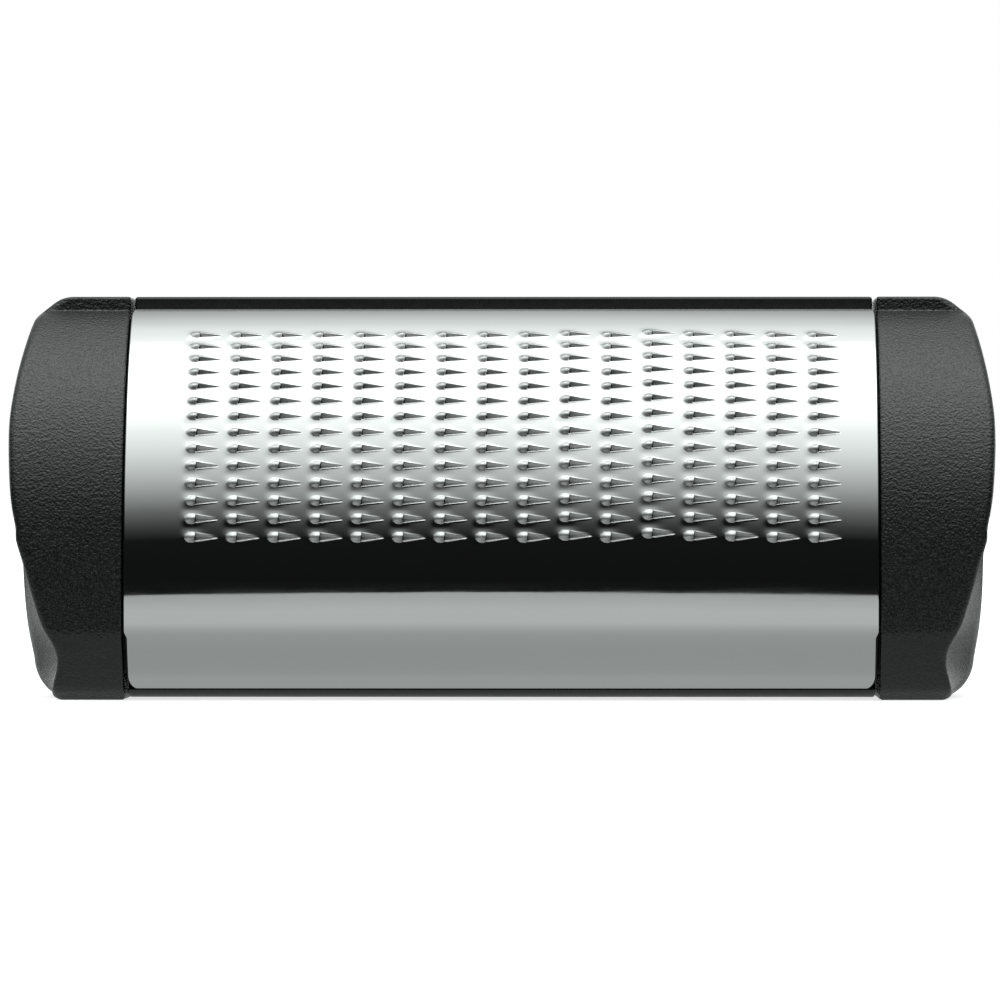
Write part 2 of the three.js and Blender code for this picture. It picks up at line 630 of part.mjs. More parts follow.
// Hollow cap with a finger scoop in its lower front corner and posts for its screws
function makeCap(side) {
  const start = CAP_START;
  const reach = CAP_END + OVERRUN;
  const mirror = (points) => points.map((p) => ({ a: side * p.a, b: p.b }));
  const end = [{ a: start, b: HEIGHT }, { a: start, b: 0 }, ...capEndOutline()];
  const seenFromFront = extrudeOutline(mirror(end), FRONT, BACK, alongMinusY);
  const seenFromAbove = extrudeOutline(mirror(capPlanOutline()), -OVERRUN, HEIGHT + OVERRUN, alongZ);
  let cap = prismX(capSection(), side * start, side * reach).intersect(seenFromFront).intersect(seenFromAbove);
  const scoop = new THREE.SphereGeometry(1, 24, 16);
  scoop.scale(...SCOOP_RADII);
  scoop.translate(side * (CAP_END + SCOOP_PROUD), FRONT - SCOOP_FORWARD, SCOOP_Z);
  cap = cap.subtract(solidOf(scoop));
  const lowX = NECK_END + POCKET_LOW_CLEARANCE;
  const pocket = [
    { a: start - OVERRUN, b: 0 },
    { a: lowX, b: 0 },
    { a: lowX, b: POCKET_STEP_Z },
    { a: POCKET_END, b: POCKET_STEP_Z + POCKET_SLOPE_HEIGHT },
    { a: POCKET_END, b: HEIGHT - POCKET_TOP_DROP },
    { a: CAP_END - POCKET_TOP_DEPTH, b: HEIGHT },
    { a: start - OVERRUN, b: HEIGHT },
  ];
  const hollow = extrudeOutline(mirror(pocket), FRONT, BACK, alongMinusY)
    .intersect(prismX(innerOutline(CAP_WALL), side * (start - OVERRUN), side * reach));
  cap = cap.subtract(hollow);
  const postX = NECK_END + FIT_GAP;
  for (const { y, z } of CAP_SCREWS) {
    cap = cap.add(rodX(BOSS_RADIUS, side * postX, side * (POCKET_END + OVERLAP), y, z));
    cap = cap.subtract(rodX(SHANK_RADIUS + SCREW_GAP, side * (postX - OVERRUN), side * POCKET_END, y, z));
  }
  return cap;
}

// Neck of a cap: a cup whose face closes the body's end
function makeNeck(side) {
  const outside = prismX(innerOutline(NECK_INSET), side * NECK_START, side * NECK_END);
  const hollow = prismX(innerOutline(NECK_INSET + NECK_WALL), side * NECK_SEAT, side * (NECK_END + OVERRUN));
  const tubeStart = side * (NECK_START + OVERLAP);
  const tubes = CAP_SCREWS.map(({ y, z }) => rodX(TUBE_RADIUS, tubeStart, side * NECK_END, y, z));
  const holeStart = side * (NECK_START - OVERRUN);
  const holes = CAP_SCREWS.flatMap(({ y, z }) => [
    rodX(HEAD_RADIUS + FIT_GAP, holeStart, side * NECK_SEAT, y, z),
    rodX(SHANK_RADIUS + SCREW_GAP, side * NECK_START, side * (NECK_END + OVERRUN), y, z),
  ]);
  if (side > 0) {
    const holeEnd = NECK_SEAT + OVERRUN;
    holes.push(...TRAY_SCREWS.map(({ y, z }) => rodX(SHANK_RADIUS + SCREW_GAP, holeStart, holeEnd, y, z)));
  }
  const grooveStart = sealMiddle - SEAL_WIDTH / 2 - SCREW_GAP;
  const grooveEnd = sealMiddle + SEAL_WIDTH / 2 + SCREW_GAP;
  const grooveInset = NECK_INSET - SEAL_PROUD + SEAL_HEIGHT + SCREW_GAP;
  const groove = ring(WALL, grooveInset, side * grooveStart, side * grooveEnd);
  return joinAll([outside.subtract(hollow), ...tubes]).subtract(joinAll(holes)).subtract(groove);
}

const sealMiddle = (NECK_SEAT + BODY_END) / 2;

function makeSeal(side) {
  const outer = NECK_INSET - SEAL_PROUD;
  const x0 = side * (sealMiddle - SEAL_WIDTH / 2);
  const x1 = side * (sealMiddle + SEAL_WIDTH / 2);
  return ring(outer, outer + SEAL_HEIGHT, x0, x1);
}

function makeCapScrews(side) {
  const seat = side * (NECK_SEAT - SCREW_GAP);
  const length = POCKET_END - NECK_SEAT - BOSS_FLOOR;
  return CAP_SCREWS.map(({ y, z }) => placeScrew(length, seat, y, z, [side, 0, 0]));
}

function makeTrayScrews() {
  const length = screwLength(NECK_FACE);
  return TRAY_SCREWS.map(({ y, z }) => placeScrew(length, NECK_SEAT + SCREW_GAP, y, z, [-1, 0, 0]));
}

// Catch tray: a trough under the teeth, open towards them, with a wall at each end
function makeTray() {
  const inset = WALL + SLIDE_GAP;
  const inner = inset + TRAY_WALL;
  const x0 = -(FRAME_INNER - SLIDE_GAP);
  const x1 = NECK_START - FIT_GAP;
  const full = prismX(innerOutline(inset), x0, x1)
    .intersect(block(x0, x1, FRONT, TRAY_BACK, TRAY_FLOOR_Z, HEIGHT));
  const hollow = prismX(innerOutline(inner), x0 + TRAY_WALL, x1 - TRAY_WALL)
    .intersect(block(x0, x1, FRONT, TRAY_BACK - TRAY_WALL, TRAY_FLOOR_Z + TRAY_WALL, HEIGHT));
  const mouthTop = arcPoint(topCentre, TOP_RADIUS, TRAY_TOP_LIP_ANGLE).b;
  const mouth = block(x0 + TRAY_WALL, x1 - TRAY_WALL, FRONT, TRAY_BACK - 3 * TRAY_WALL, TRAY_RIM_Z, mouthTop);
  const bossStart = x1 - BOSS_LENGTH;
  const holeStart = bossStart + BOSS_FLOOR;
  const bosses = TRAY_SCREWS.map(({ y, z }) => rodX(BOSS_RADIUS, bossStart, x1 - OVERLAP, y, z));
  const holes = TRAY_SCREWS.map(({ y, z }) => rodX(SHANK_RADIUS + SCREW_GAP, holeStart, x1 + OVERRUN, y, z));
  return joinAll([full.subtract(hollow).subtract(mouth), ...bosses]).subtract(joinAll(holes));
}

addPiece('grater_plate', makePlate(), 'steel');
addPiece('plate_carrier', makeCarrier(), 'insideBlack');
addPiece('rear_shell', makeRearShell(), 'smoothBlack');
addPiece('base_plate', makeBasePlate(), 'smoothBlack');
addPiece('divider_wall', makeDivider(), 'insideBlack');
addPiece('left_end_frame', makeEndFrame(-1), 'insideBlack');
addPiece('right_end_frame', makeEndFrame(1), 'insideBlack');
addPieces('left_frame_screw', makeFrameScrews(-1), 'screwSteel');
addPieces('right_frame_screw', makeFrameScrews(1), 'screwSteel');
addPieces('base_screw', makeBaseScrews(), 'screwSteel');
addPiece('left_cap', makeCap(-1), 'grainedBlack');
addPiece('left_cap_insert', makeNeck(-1), 'insideBlack');
addPieces('left_cap_screw', makeCapScrews(-1), 'screwSteel');
addPiece('left_seal', makeSeal(-1), 'rubber');
addPiece('right_cap', makeCap(1), 'grainedBlack');
addPiece('right_cap_insert', makeNeck(1), 'insideBlack');
addPieces('right_cap_screw', makeCapScrews(1), 'screwSteel');
addPiece('right_seal', makeSeal(1), 'rubber');
addPiece('catch_tray', makeTray(), 'trayGrey');
addPieces('tray_screw', makeTrayScrews(), 'screwSteel');

export default grater;
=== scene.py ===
import json
import math

import bmesh
import bpy
import numpy as np
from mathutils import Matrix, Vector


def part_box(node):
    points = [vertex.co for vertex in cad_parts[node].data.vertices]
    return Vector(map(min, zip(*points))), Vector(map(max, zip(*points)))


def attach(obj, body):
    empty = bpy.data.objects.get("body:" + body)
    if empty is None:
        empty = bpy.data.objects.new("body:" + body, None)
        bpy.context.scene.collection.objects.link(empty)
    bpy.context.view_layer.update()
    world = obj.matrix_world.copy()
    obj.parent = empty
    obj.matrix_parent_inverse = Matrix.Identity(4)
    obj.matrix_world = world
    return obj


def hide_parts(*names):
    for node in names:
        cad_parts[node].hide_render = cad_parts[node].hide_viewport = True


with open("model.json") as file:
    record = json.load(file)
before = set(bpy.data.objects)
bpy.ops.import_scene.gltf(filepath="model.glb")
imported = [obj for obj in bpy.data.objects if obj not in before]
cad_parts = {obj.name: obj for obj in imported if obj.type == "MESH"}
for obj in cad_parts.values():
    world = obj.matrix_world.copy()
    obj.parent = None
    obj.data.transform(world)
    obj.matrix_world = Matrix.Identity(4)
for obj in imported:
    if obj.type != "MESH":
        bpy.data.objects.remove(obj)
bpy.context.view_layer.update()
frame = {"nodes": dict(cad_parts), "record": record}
scene = bpy.context.scene

# Everything is worked out in millimetres and scaled to metres when a mesh is made
MM = 0.001

# Driving sizes, the same as in the solids
BODY_HALF = 45.0
CAP_LENGTH = 14.4
DEPTH = 46.0
HEIGHT = 48.7
BODY_LIFT = 0.35
FIT_GAP = 0.3
WALL = 2.2
CAP_WALL = 2.5
SHEET = 0.5
BACK_RADIUS = 5.0
DIVIDER_SETBACK = 0.2
DIVIDER_THICKNESS = 1.2
BASE_SETBACK = 1.0
BASE_SCREW_X = 36.2
HEAD_RADIUS = 2.0
HEAD_HEIGHT = 1.0
BOSS_RADIUS = 2.6
BOSS_MARGIN = 1.0

# Front curve from the crease at the top down to the toe, by angles of its normal above the horizon
CREASE_DROP = 1.5
CREASE_ANGLE = 72.0
TOP_RADIUS = 18.0
BEND_ANGLE = -7.0
BEND_RADIUS = 6.0
FLAP_ANGLE = -36.0
FLAP_LENGTH = 5.1
TOE_RADIUS = 4.0
PLATE_END_ANGLE = -49.0
FOOT_ANGLE = -60.0
TOE_END_ANGLE = -90.0

# Places of the teeth
COLUMNS = 16
ROWS = 14
COLUMN_PITCH = 4.965
ROW_STEP = 3.32
FIRST_ROW_ANGLE = 52.1
FIELD_SHIFT = 0.64

# Small edges that only the finished surfaces have
SHEET_OVERHANG = 0.08
SHELL_SETBACK = 0.22
END_ROUND = 0.36
TOE_GAP = 1.5
LIP_LEAN = 0.28
LIP_ROUND = 0.4
LIP_GAP = 0.06
LIP_UNDERCUT = 0.05
CLOSEST_POINTS = 0.02

FRONT = -DEPTH / 2
BACK = DEPTH / 2
CAP_START = BODY_HALF + FIT_GAP
CAP_END = CAP_START + CAP_LENGTH
SHEET_HALF = BODY_HALF + SHEET_OVERHANG
SHELL_HALF = BODY_HALF - SHELL_SETBACK
FIRST_CUT_X = FIELD_SHIFT - COLUMN_PITCH * (COLUMNS - 1) / 2


# Curves of the cross-section, in Y and Z


def climb(radius, lower, upper):
    """How far an arc rises between two angles of its normal."""
    return radius * (math.sin(math.radians(upper)) - math.sin(math.radians(lower)))


def arc_point(centre, radius, angle):
    a = math.radians(angle)
    return (centre[0] - radius * math.cos(a), centre[1] + radius * math.sin(a))


ROWS_TOP = FIRST_ROW_ANGLE + ROW_STEP / 2
FLAP_CLIMB = FLAP_LENGTH * math.cos(math.radians(FLAP_ANGLE))
BEND_TOP_Z = (BODY_LIFT + climb(TOE_RADIUS, TOE_END_ANGLE, FLAP_ANGLE) + FLAP_CLIMB
              + climb(BEND_RADIUS, FLAP_ANGLE, BEND_ANGLE))
ROWS_TOP_Z = HEIGHT - CREASE_DROP - climb(TOP_RADIUS, ROWS_TOP, CREASE_ANGLE)
MAIN_RADIUS = (ROWS_TOP_Z - BEND_TOP_Z) / climb(1, BEND_ANGLE, ROWS_TOP)
MAIN_CENTRE = (FRONT + MAIN_RADIUS, BEND_TOP_Z - climb(MAIN_RADIUS, 0, BEND_ANGLE))
TOP_CENTRE = arc_point(MAIN_CENTRE, MAIN_RADIUS - TOP_RADIUS, ROWS_TOP)
BEND_CENTRE = arc_point(MAIN_CENTRE, MAIN_RADIUS - BEND_RADIUS, BEND_ANGLE)
FLAP_TOP = arc_point(BEND_CENTRE, BEND_RADIUS, FLAP_ANGLE)
FLAP_FOOT = (FLAP_TOP[0] - FLAP_LENGTH * math.sin(math.radians(FLAP_ANGLE)), FLAP_TOP[1] - FLAP_CLIMB)
TOE_CENTRE = arc_point(FLAP_FOOT, -TOE_RADIUS, FLAP_ANGLE)
ARCS = [(TOP_CENTRE, TOP_RADIUS, CREASE_ANGLE, ROWS_TOP),
        (MAIN_CENTRE, MAIN_RADIUS, ROWS_TOP, BEND_ANGLE),
        (BEND_CENTRE, BEND_RADIUS, BEND_ANGLE, FLAP_ANGLE),
        (TOE_CENTRE, TOE_RADIUS, FLAP_ANGLE, TOE_END_ANGLE)]


def front_curve(inset=0.0, upper=CREASE_ANGLE, lower=TOE_END_ANGLE, step=1.5):
    """Points down the front curve, from one angle of its outward normal to another."""
    points = []
    for centre, radius, start, end in ARCS:
        top = min(start, upper)
        bottom = max(end, lower)
        if top <= bottom:
            continue
        for angle in np.linspace(top, bottom, max(3, math.ceil((top - bottom) / step) + 1)):
            point = arc_point(centre, radius - inset, angle)
            if not points or math.dist(point, points[-1]) > CLOSEST_POINTS:
                points.append(point)
    return points


def corner(y, z, radius, start, turn=90, steps=10):
    """Points round an arc, by angles turned from +Y towards +Z."""
    angles = [math.radians(start + turn * i / steps) for i in range(steps + 1)]
    return [(y + radius * math.cos(a), z + radius * math.sin(a)) for a in angles]


def back_curve(inset, floor):
    """Points up the back, round its lower and its upper corner."""
    radius = BACK_RADIUS - inset
    side = BACK - inset - radius
    lower = corner(side, floor + inset + radius, radius, -90)
    return lower + corner(side, HEIGHT - inset - radius, radius, 0)


CREASE = front_curve()[0]
ROOF_STEP = front_curve(WALL)[0][0] + FIT_GAP
LIP_FACE = CREASE[0] + LIP_LEAN
STORE_FRONT = CREASE[0] + DIVIDER_SETBACK + DIVIDER_THICKNESS
BASE_REAR = BACK - BACK_RADIUS - BASE_SETBACK


def lip(inset=0.0):
    """The step from the roof down to the top edge of the plate."""
    return corner(LIP_FACE + LIP_ROUND, HEIGHT - LIP_ROUND, LIP_ROUND - inset, 90, steps=6)


# Meshes


def new_object(name, mesh):
    thing = bpy.data.objects.new(name, mesh)
    scene.collection.objects.link(thing)
    return thing


def shade_smooth(mesh, sharp):
    """Shades a mesh smooth, except at edges over an angle."""
    for polygon in mesh.polygons:
        polygon.use_smooth = True
    if sharp is not None:
        mesh.set_sharp_from_angle(angle=math.radians(sharp))


def apply_modifiers(piece, sharp):
    graph = bpy.context.evaluated_depsgraph_get()
    mesh = bpy.data.meshes.new_from_object(piece.evaluated_get(graph))
    piece.modifiers.clear()
    piece.data = mesh
    shade_smooth(mesh, sharp)


def hang(piece, slot, body, node):
    """Gives a piece its material and hangs it on a body in place of a CAD node."""
    piece.data.materials.clear()
    piece.data.materials.append(FINISHES[slot])
    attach(piece, body)
    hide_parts(node)


def new_piece(name, verts, faces, slot, body, node, normals=None, sharp=None, marks=None):
    """Makes a piece from points in millimetres. marks say how far the punch has dulled each point, and above
    1 how much painted shade darkens it.
    """
    mesh = bpy.data.meshes.new(name)
    mesh.from_pydata((np.asarray(verts, float) * MM).tolist(), [], [list(f) for f in faces])
    mesh.update()
    shade_smooth(mesh, sharp)
    if normals is not None:
        mesh.normals_split_custom_set_from_vertices(np.asarray(normals, float).tolist())
    # the marks hold wear and painted shade
    if marks is not None:
        layer = mesh.attributes.new("wear_and_shade", "FLOAT", "POINT")
        layer.data.foreach_set("value", np.asarray(marks, np.float32))
    piece = new_object(name, mesh)
    hang(piece, slot, body, node)
    return piece


def signed_area(p):
    """Area inside a closed outline, positive when it runs anticlockwise."""
    return 0.5 * np.sum(p[:, 0] * np.roll(p[:, 1], -1) - np.roll(p[:, 0], -1) * p[:, 1])


def ring_faces(rings, count):
    """Quads between rings of points, and a face at each end."""
    faces = []
    for r in range(rings - 1):
        for i in range(count):
            j = (i + 1) % count
            faces.append([r * count + i, r * count + j, (r + 1) * count + j, (r + 1) * count + i])
    last = (rings - 1) * count
    return faces + [list(range(count))[::-1], list(range(last, last + count))]


def rounded_prism(outline, half, radius, steps=5):
    """A section in Y and Z pushed along X between -half and half, with rounded edges at its ends.

    outline gives the section's points for an inset, always as many of them.
    """
    turns = np.linspace(0, math.pi / 2, steps + 1)
    low = [(-half + radius * (1 - math.sin(t)), radius * (1 - math.cos(t))) for t in turns[::-1]]
    rings = low + [(-x, inset) for x, inset in low[::-1]]
    verts = [(x, y, z) for x, inset in rings for y, z in outline(inset)]
    faces = ring_faces(len(rings), len(outline(0)))
    if signed_area(np.array(outline(0))) < 0:
        faces = [f[::-1] for f in faces]
    return verts, faces


def upright_rod(radius, x, y, low, high, sides=40):
    """A plain cylinder, used only as a tool for cuts."""
    turns = [2 * math.pi * i / sides for i in range(sides)]
    verts = [(x + radius * math.cos(a), y + radius * math.sin(a), z) for z in (low, high) for a in turns]
    mesh = bpy.data.meshes.new("tool")
    mesh.from_pydata([[MM * value for value in vert] for vert in verts], [], ring_faces(2, sides))
    return new_object("tool", mesh)


def cut(piece, tools, sharp):
    """Cuts tools out of a piece and shades it smooth up to an angle."""
    for tool in tools:
        change = piece.modifiers.new("cut", "BOOLEAN")
        change.object = tool
        change.operation = "DIFFERENCE"
        change.solver = "EXACT"
    apply_modifiers(piece, sharp)
    for tool in tools:
        bpy.data.objects.remove(tool)


# Materials

# Where a Mix node has its first input and its result, by what it mixes
MIX_SOCKETS = {"RGBA": (6, 2), "FLOAT": (2, 0)}


def add_node(tree, kind, inputs=None, **settings):
    """Adds a shader node. Its inputs are numbers, colours or other nodes' outputs, by name or place."""
    node = tree.nodes.new("ShaderNode" + kind)
    for name, value in settings.items():
        setattr(node, name, value)
    for place, value in (inputs or {}).items():
        if isinstance(value, bpy.types.NodeSocket):
            tree.links.new(value, node.inputs[place])
        else:
            node.inputs[place].default_value = value
    return node


def wire(tree, kind, inputs=None, output=0, **settings):
    """Adds a shader node and gives one of its outputs."""
    return add_node(tree, kind, inputs, **settings).outputs[output]


def mix(tree, factor, a, b, kind="RGBA"):
    """Mixes two colours or two numbers, each given as a value or as another node's output."""
    first, result = MIX_SOCKETS[kind]
    a, b = ((*side, 1) if isinstance(side, tuple) else side for side in (a, b))
    return wire(tree, "Mix", {0: factor, first: a, first + 1: b}, result, data_type=kind)


class Finish:
    """A Principled material with short forms for its detail. Noise scales count details per metre."""

    def __init__(self, name, inputs=None):
        self.material = bpy.data.materials.new(name)
        self.material.use_nodes = True
        self.tree = self.material.node_tree
        self.tree.nodes.clear()
        self.shader = add_node(self.tree, "BsdfPrincipled", inputs)
        add_node(self.tree, "OutputMaterial", {0: self.shader.outputs[0]})
        self.place = wire(self.tree, "TexCoord", output="Object")

    def noise(self, scale, detail=2.0, rough=0.5, stretch=None):
        place = self.place
        if stretch:
            place = wire(self.tree, "Mapping", {"Vector": place, "Scale": stretch})
        inputs = {"Vector": place, "Scale": scale, "Detail": detail, "Roughness": rough}
        return wire(self.tree, "TexNoise", inputs, "Fac")

    def spread(self, value, low, high, low_in=0.35, high_in=0.65):
        """Maps a value to a range. Most of a noise lies between 0.35 and 0.65."""
        inputs = {"Value": value, "From Min": low_in, "From Max": high_in, "To Min": low, "To Max": high}
        return wire(self.tree, "MapRange", inputs)

    def blend(self, factor, a, b, kind="RGBA"):
        return mix(self.tree, factor, a, b, kind)

    def colour(self, value):
        self.tree.links.new(value, self.shader.inputs["Base Color"])

    def roughness(self, value):
        self.tree.links.new(value, self.shader.inputs["Roughness"])

    def bump(self, *layers):
        """Adds bumps, each given as a height, a depth in millimetres and a strength."""
        below = {}
        for height, depth, strength in layers:
            inputs = {"Height": height, "Distance": depth * MM, "Strength": strength, **below}
            below = {"Normal": wire(self.tree, "Bump", inputs)}
        self.tree.links.new(below["Normal"], self.shader.inputs["Normal"])


def mirror_steel():
    """Polished sheet, duller where the punch has worn it, and darkened with painted shade in the deep end of
    each trough and on the lower right of each dome.
    """
    f = Finish("mirror_steel", {"Metallic": 1.0})
    wear_and_shade = wire(f.tree, "Attribute", output="Fac", attribute_name="wear_and_shade")
    polished = f.blend(f.noise(60, 3), (0.622, 0.632, 0.624), (0.652, 0.66, 0.652))
    torn_and_shaded = f.blend(f.noise(1700, 2), (0.50, 0.51, 0.505), (0.60, 0.61, 0.605))
    # painted shade: the dark colour the torn steel is mixed to, as far as its mark runs past 1
    shade = (0.06, 0.062, 0.061)
    torn_and_shaded = f.blend(f.spread(wear_and_shade, 0, 1, 1, 2), torn_and_shaded, shade)
    f.colour(f.blend(wear_and_shade, polished, torn_and_shaded))
    rubbed = f.spread(f.noise(900, 3, 0.6, stretch=(0.06, 1, 1)), 0.04, 0.075)
    dull = f.spread(f.noise(1500, 2), 0.38, 0.48)
    f.roughness(f.blend(wear_and_shade, rubbed, dull, "FLOAT"))
    f.bump((f.noise(2500, 2, stretch=(0.04, 1, 1)), 0.0006, 1.0), (f.noise(240, 2), 0.0025, 1.0))
    return f.material


def smooth_black():
    f = Finish("smooth_black")
    f.colour(f.blend(f.noise(120, 3), (0.008, 0.0085, 0.0085), (0.012, 0.0125, 0.0125)))
    f.roughness(f.spread(f.noise(700, 3, 0.6), 0.20, 0.30))
    f.bump((f.noise(1400, 2), 0.0015, 0.6))
    return f.material


def grained_black():
    """Plastic with a fine eroded grain, polished a little on its high spots, with painted shade darkening its
    pits.
    """
    f = Finish("grained_black", {"Specular IOR Level": 0.62})
    grain = f.noise(3100, 2, 0.55)
    pit_shade = f.spread(grain, 0.0, 1.0, 0.38, 0.62)
    # painted shade: the colour is darker in the pits of the grain
    f.colour(f.blend(pit_shade, (0.001, 0.0011, 0.0011), (0.0065, 0.0075, 0.0072)))
    f.roughness(f.spread(grain, 0.30, 0.17))
    f.bump((grain, 0.15, 0.9))
    return f.material


def plastic(name, low, high, smoothest, roughest, specular=0.5):
    """Plain moulded plastic or rubber."""
    f = Finish(name, {"Specular IOR Level": specular})
    f.colour(f.blend(f.noise(150, 3), low, high))
    f.roughness(f.spread(f.noise(1100, 3, 0.6), smoothest, roughest))
    f.bump((f.noise(2600, 2), 0.02, 0.5))
    return f.material


def plated_steel():
    f = Finish("plated_steel", {"Metallic": 1.0})
    f.colour(f.blend(f.noise(500, 3), (0.42, 0.42, 0.43), (0.56, 0.56, 0.56)))
    f.roughness(f.spread(f.noise(2400, 3, 0.6), 0.22, 0.38))
    f.bump((f.noise(5200, 2), 0.004, 0.6))
    return f.material


FINISHES = {
    "steel": mirror_steel(),
    "smooth_black": smooth_black(),
    "grained_black": grained_black(),
    "inside_black": plastic("inside_black", (0.012, 0.0125, 0.0125), (0.017, 0.0175, 0.0175), 0.38, 0.5),
    "tray_grey": plastic("tray_grey", (0.040, 0.042, 0.044), (0.050, 0.052, 0.054), 0.34, 0.46),
    "rubber": plastic("rubber", (0.010, 0.010, 0.010), (0.015, 0.015, 0.015), 0.7, 0.85, 0.35),
    "screw_steel": plated_steel(),
}


# Grater plate
# Each tooth is a dome pressed up on the left of a cut, and a trough pressed down on its right.
# u runs right from the cut and v up the plate. q is -1 at the trough's lower rim and 1 at its upper one.
# s runs down the plate from the crease.

DOME_LENGTH = 1.3
DOME_PEAK = -0.3
DOME_FALL = 0.8
DOME_HEIGHT = 0.25
DOME_HALF = 0.66
DOME_POWER = 1.7
TROUGH_LENGTH = 2.74
TROUGH_DEPTH = 0.52
TROUGH_END = 0.97
TROUGH_POWER = 1.1
RIM = 0.46
TIP_V = -0.10
VALLEY_Q = -0.5
# The sheet is cut through beside the cut, as far as this and between these q
OPENING = 0.08
OPENING_Q = 0.75
# The sheet round a tooth is drawn up a little with it
SKIRT = 0.078
SKIRT_LENGTH = 1.25
SKIRT_MIDDLE = -0.5
SKIRT_START = -2.1
SKIRT_RISE = 1.2
BURR = 0.03
BURR_WIDTH = 0.09
BURR_RISE = 0.3
BURR_FADE = 3.0
CUT_SLANT = 0.15
SLANT_REACH = 1.4
UNDER_SHARE = 0.6
SLOPE_STEP = 0.02

# Columns that stand a little higher in the photo, from 0 at the left
COLUMN_LIFTS = {9: 0.24, 11: 0.50, 12: 0.18, 13: 0.16}

# Where the grid's lines lie: beside a cut, over a tooth, and from the plate's edges inwards
LEFT_LINES = [-2.1, -1.7, -1.35, -1.12, -0.95, -0.75, -0.55, -0.35, -0.17, 0.0]
RIGHT_LINES = [0.0, OPENING, 0.22, 0.42, 0.75, 1.15, 1.55, 1.9, 2.2, 2.45, 2.65, 2.8]
INNER_Q = [1.0, OPENING_Q, 0.55, 0.28, 0.0, -0.25, VALLEY_Q, -OPENING_Q, -1.0]
OUTER_Q = [1.12, 1.35, 1.65, 1.95]
SIDE_LINES = [0, 0.03, 0.08, 0.16, 0.35, 0.8, 1.6, 3.0]
TOP_LINES = [0, 0.04, 0.12, 0.3, 0.6, 1.0, 1.5]
FOOT_LINES = [0.25, 0.15, 0.07, 0.0]
ROW_SHARE = 0.97
FIELD_MARGIN = 0.48
LINE_GAP = 0.3
JOG_LINES = 0.6
LIFT_FADE = 2.0

# Rounds of the plate's edges and corners, and the jog below which it is narrower
SIDE_EDGE = 0.16
TOP_EDGE = 0.05
FOOT_EDGE = 0.2
# An edge's slope is kept from growing without end
LEAN_LIMIT = 0.95
# Depth and length of the corners, which draw in the sides of the plate
TOP_CORNER = (0.6, 1.9)
FOOT_CORNER = (1.35, 2.1)
CORNER_X = 41.5
CORNER_REACH = 3.0
JOG_DEPTH = 0.34
JOG_RISE = 1.9
JOG_HALF = 0.5

# Where the steel is dull, and where painted shade darkens it beside a cut
DULL_REACH = 1.25
DULL_EDGE = 2.2
SHADE_START = -0.75
SHADE_LENGTH = 0.8
SHADE_UP = 0.55
SHADE = 0.5

# Bends of the normals alone: a bow along the plate, and a flatter top, in degrees
SHEET_BOW = 0.7
FLATTER_FROM = 58.0
FLATTER_SHARE = 0.57

ROW_PITCH = math.radians(ROW_STEP) * MAIN_RADIUS
PLATE_ENDS = np.cumsum([math.radians(CREASE_ANGLE - ROWS_TOP) * TOP_RADIUS,
                        math.radians(ROWS_TOP - BEND_ANGLE) * MAIN_RADIUS,
                        math.radians(BEND_ANGLE - FLAP_ANGLE) * BEND_RADIUS,
                        FLAP_LENGTH,
                        math.radians(FLAP_ANGLE - PLATE_END_ANGLE) * TOE_RADIUS])
PLATE_LENGTH = PLATE_ENDS[-1]
FIRST_ROW = PLATE_ENDS[0] + math.radians(ROWS_TOP - FIRST_ROW_ANGLE) * MAIN_RADIUS
FIRST_LINE = FIRST_ROW - FIELD_MARGIN * ROW_PITCH
LAST_LINE = FIRST_ROW + (ROWS - 1 + FIELD_MARGIN) * ROW_PITCH
JOG = PLATE_ENDS[2] - JOG_RISE


def smooth_step(t):
    t = np.clip(t, 0, 1)
    return t * t * (3 - 2 * t)


def bite(depth, length, distance):
    """How far a round corner draws in, at a distance from its start."""
    return depth * (1 - np.sqrt(1 - np.clip(1 - distance / length, 0, 1) ** 2))


def lean(t):
    """Slope of a rounded edge, with t from 0 at its start to 1 at its end."""
    t = np.clip(t, 0, LEAN_LIMIT)
    return t / np.sqrt(1 - t ** 2)


def rims(u):
    """Middle and half width of a trough, up the plate."""
    t = TROUGH_END * np.clip(u / TROUGH_LENGTH, 0, 1)
    return TIP_V * t, RIM * (1 - t)


def dome_reach(u, v):
    """0 at the top of a dome and 1 at its foot."""
    reach = np.where(u < DOME_PEAK, DOME_LENGTH + DOME_PEAK, DOME_FALL)
    return ((u - DOME_PEAK) / reach) ** 2 + (v / DOME_HALF) ** 2


def tooth_height(u, v, side):
    """Height over the sheet. side is -1 on the dome's side of the cut and 1 on the trough's."""
    skirt = SKIRT * np.exp(-((u - SKIRT_MIDDLE) / SKIRT_LENGTH) ** 2)
    skirt *= smooth_step((u - SKIRT_START) / SKIRT_RISE)
    skirt *= 0.5 + 0.5 * np.cos(2 * math.pi * v / ROW_PITCH)
    dome = DOME_HEIGHT * np.clip(1 - dome_reach(u, v), 0, 1) ** DOME_POWER
    middle, half = rims(u)
    q = (v - middle) / half
    t = np.clip(u / TROUGH_LENGTH, 0, 1)
    upper = np.clip((1 - q) / (1 - VALLEY_Q), 0, 1) ** TROUGH_POWER
    lower = np.clip((1 + q) / (1 + VALLEY_Q), 0, 1)
    trough = TROUGH_DEPTH * (1 - t) * np.where(np.abs(q) < 1, np.minimum(upper, lower), 0)
    burr = BURR * np.exp(-((np.abs(v - middle) - half) / BURR_WIDTH) ** 2)
    burr *= np.clip(BURR_FADE * (1 - t), 0, 1) * np.clip(u / BURR_RISE, 0, 1)
    return skirt + np.where(side < 0, dome, burr - trough)


def line_height(q, middle, half):
    """How far up from the middle of its row a line runs: by q between the rims, spread out past them."""
    room = 0.5 * ROW_PITCH * ROW_SHARE
    way = np.sign(q)
    past_rim = middle + way * (half + (np.abs(q) - 1) * (room - way * middle - half))
    return np.where(np.abs(q) <= 1, middle + q * half, past_rim)


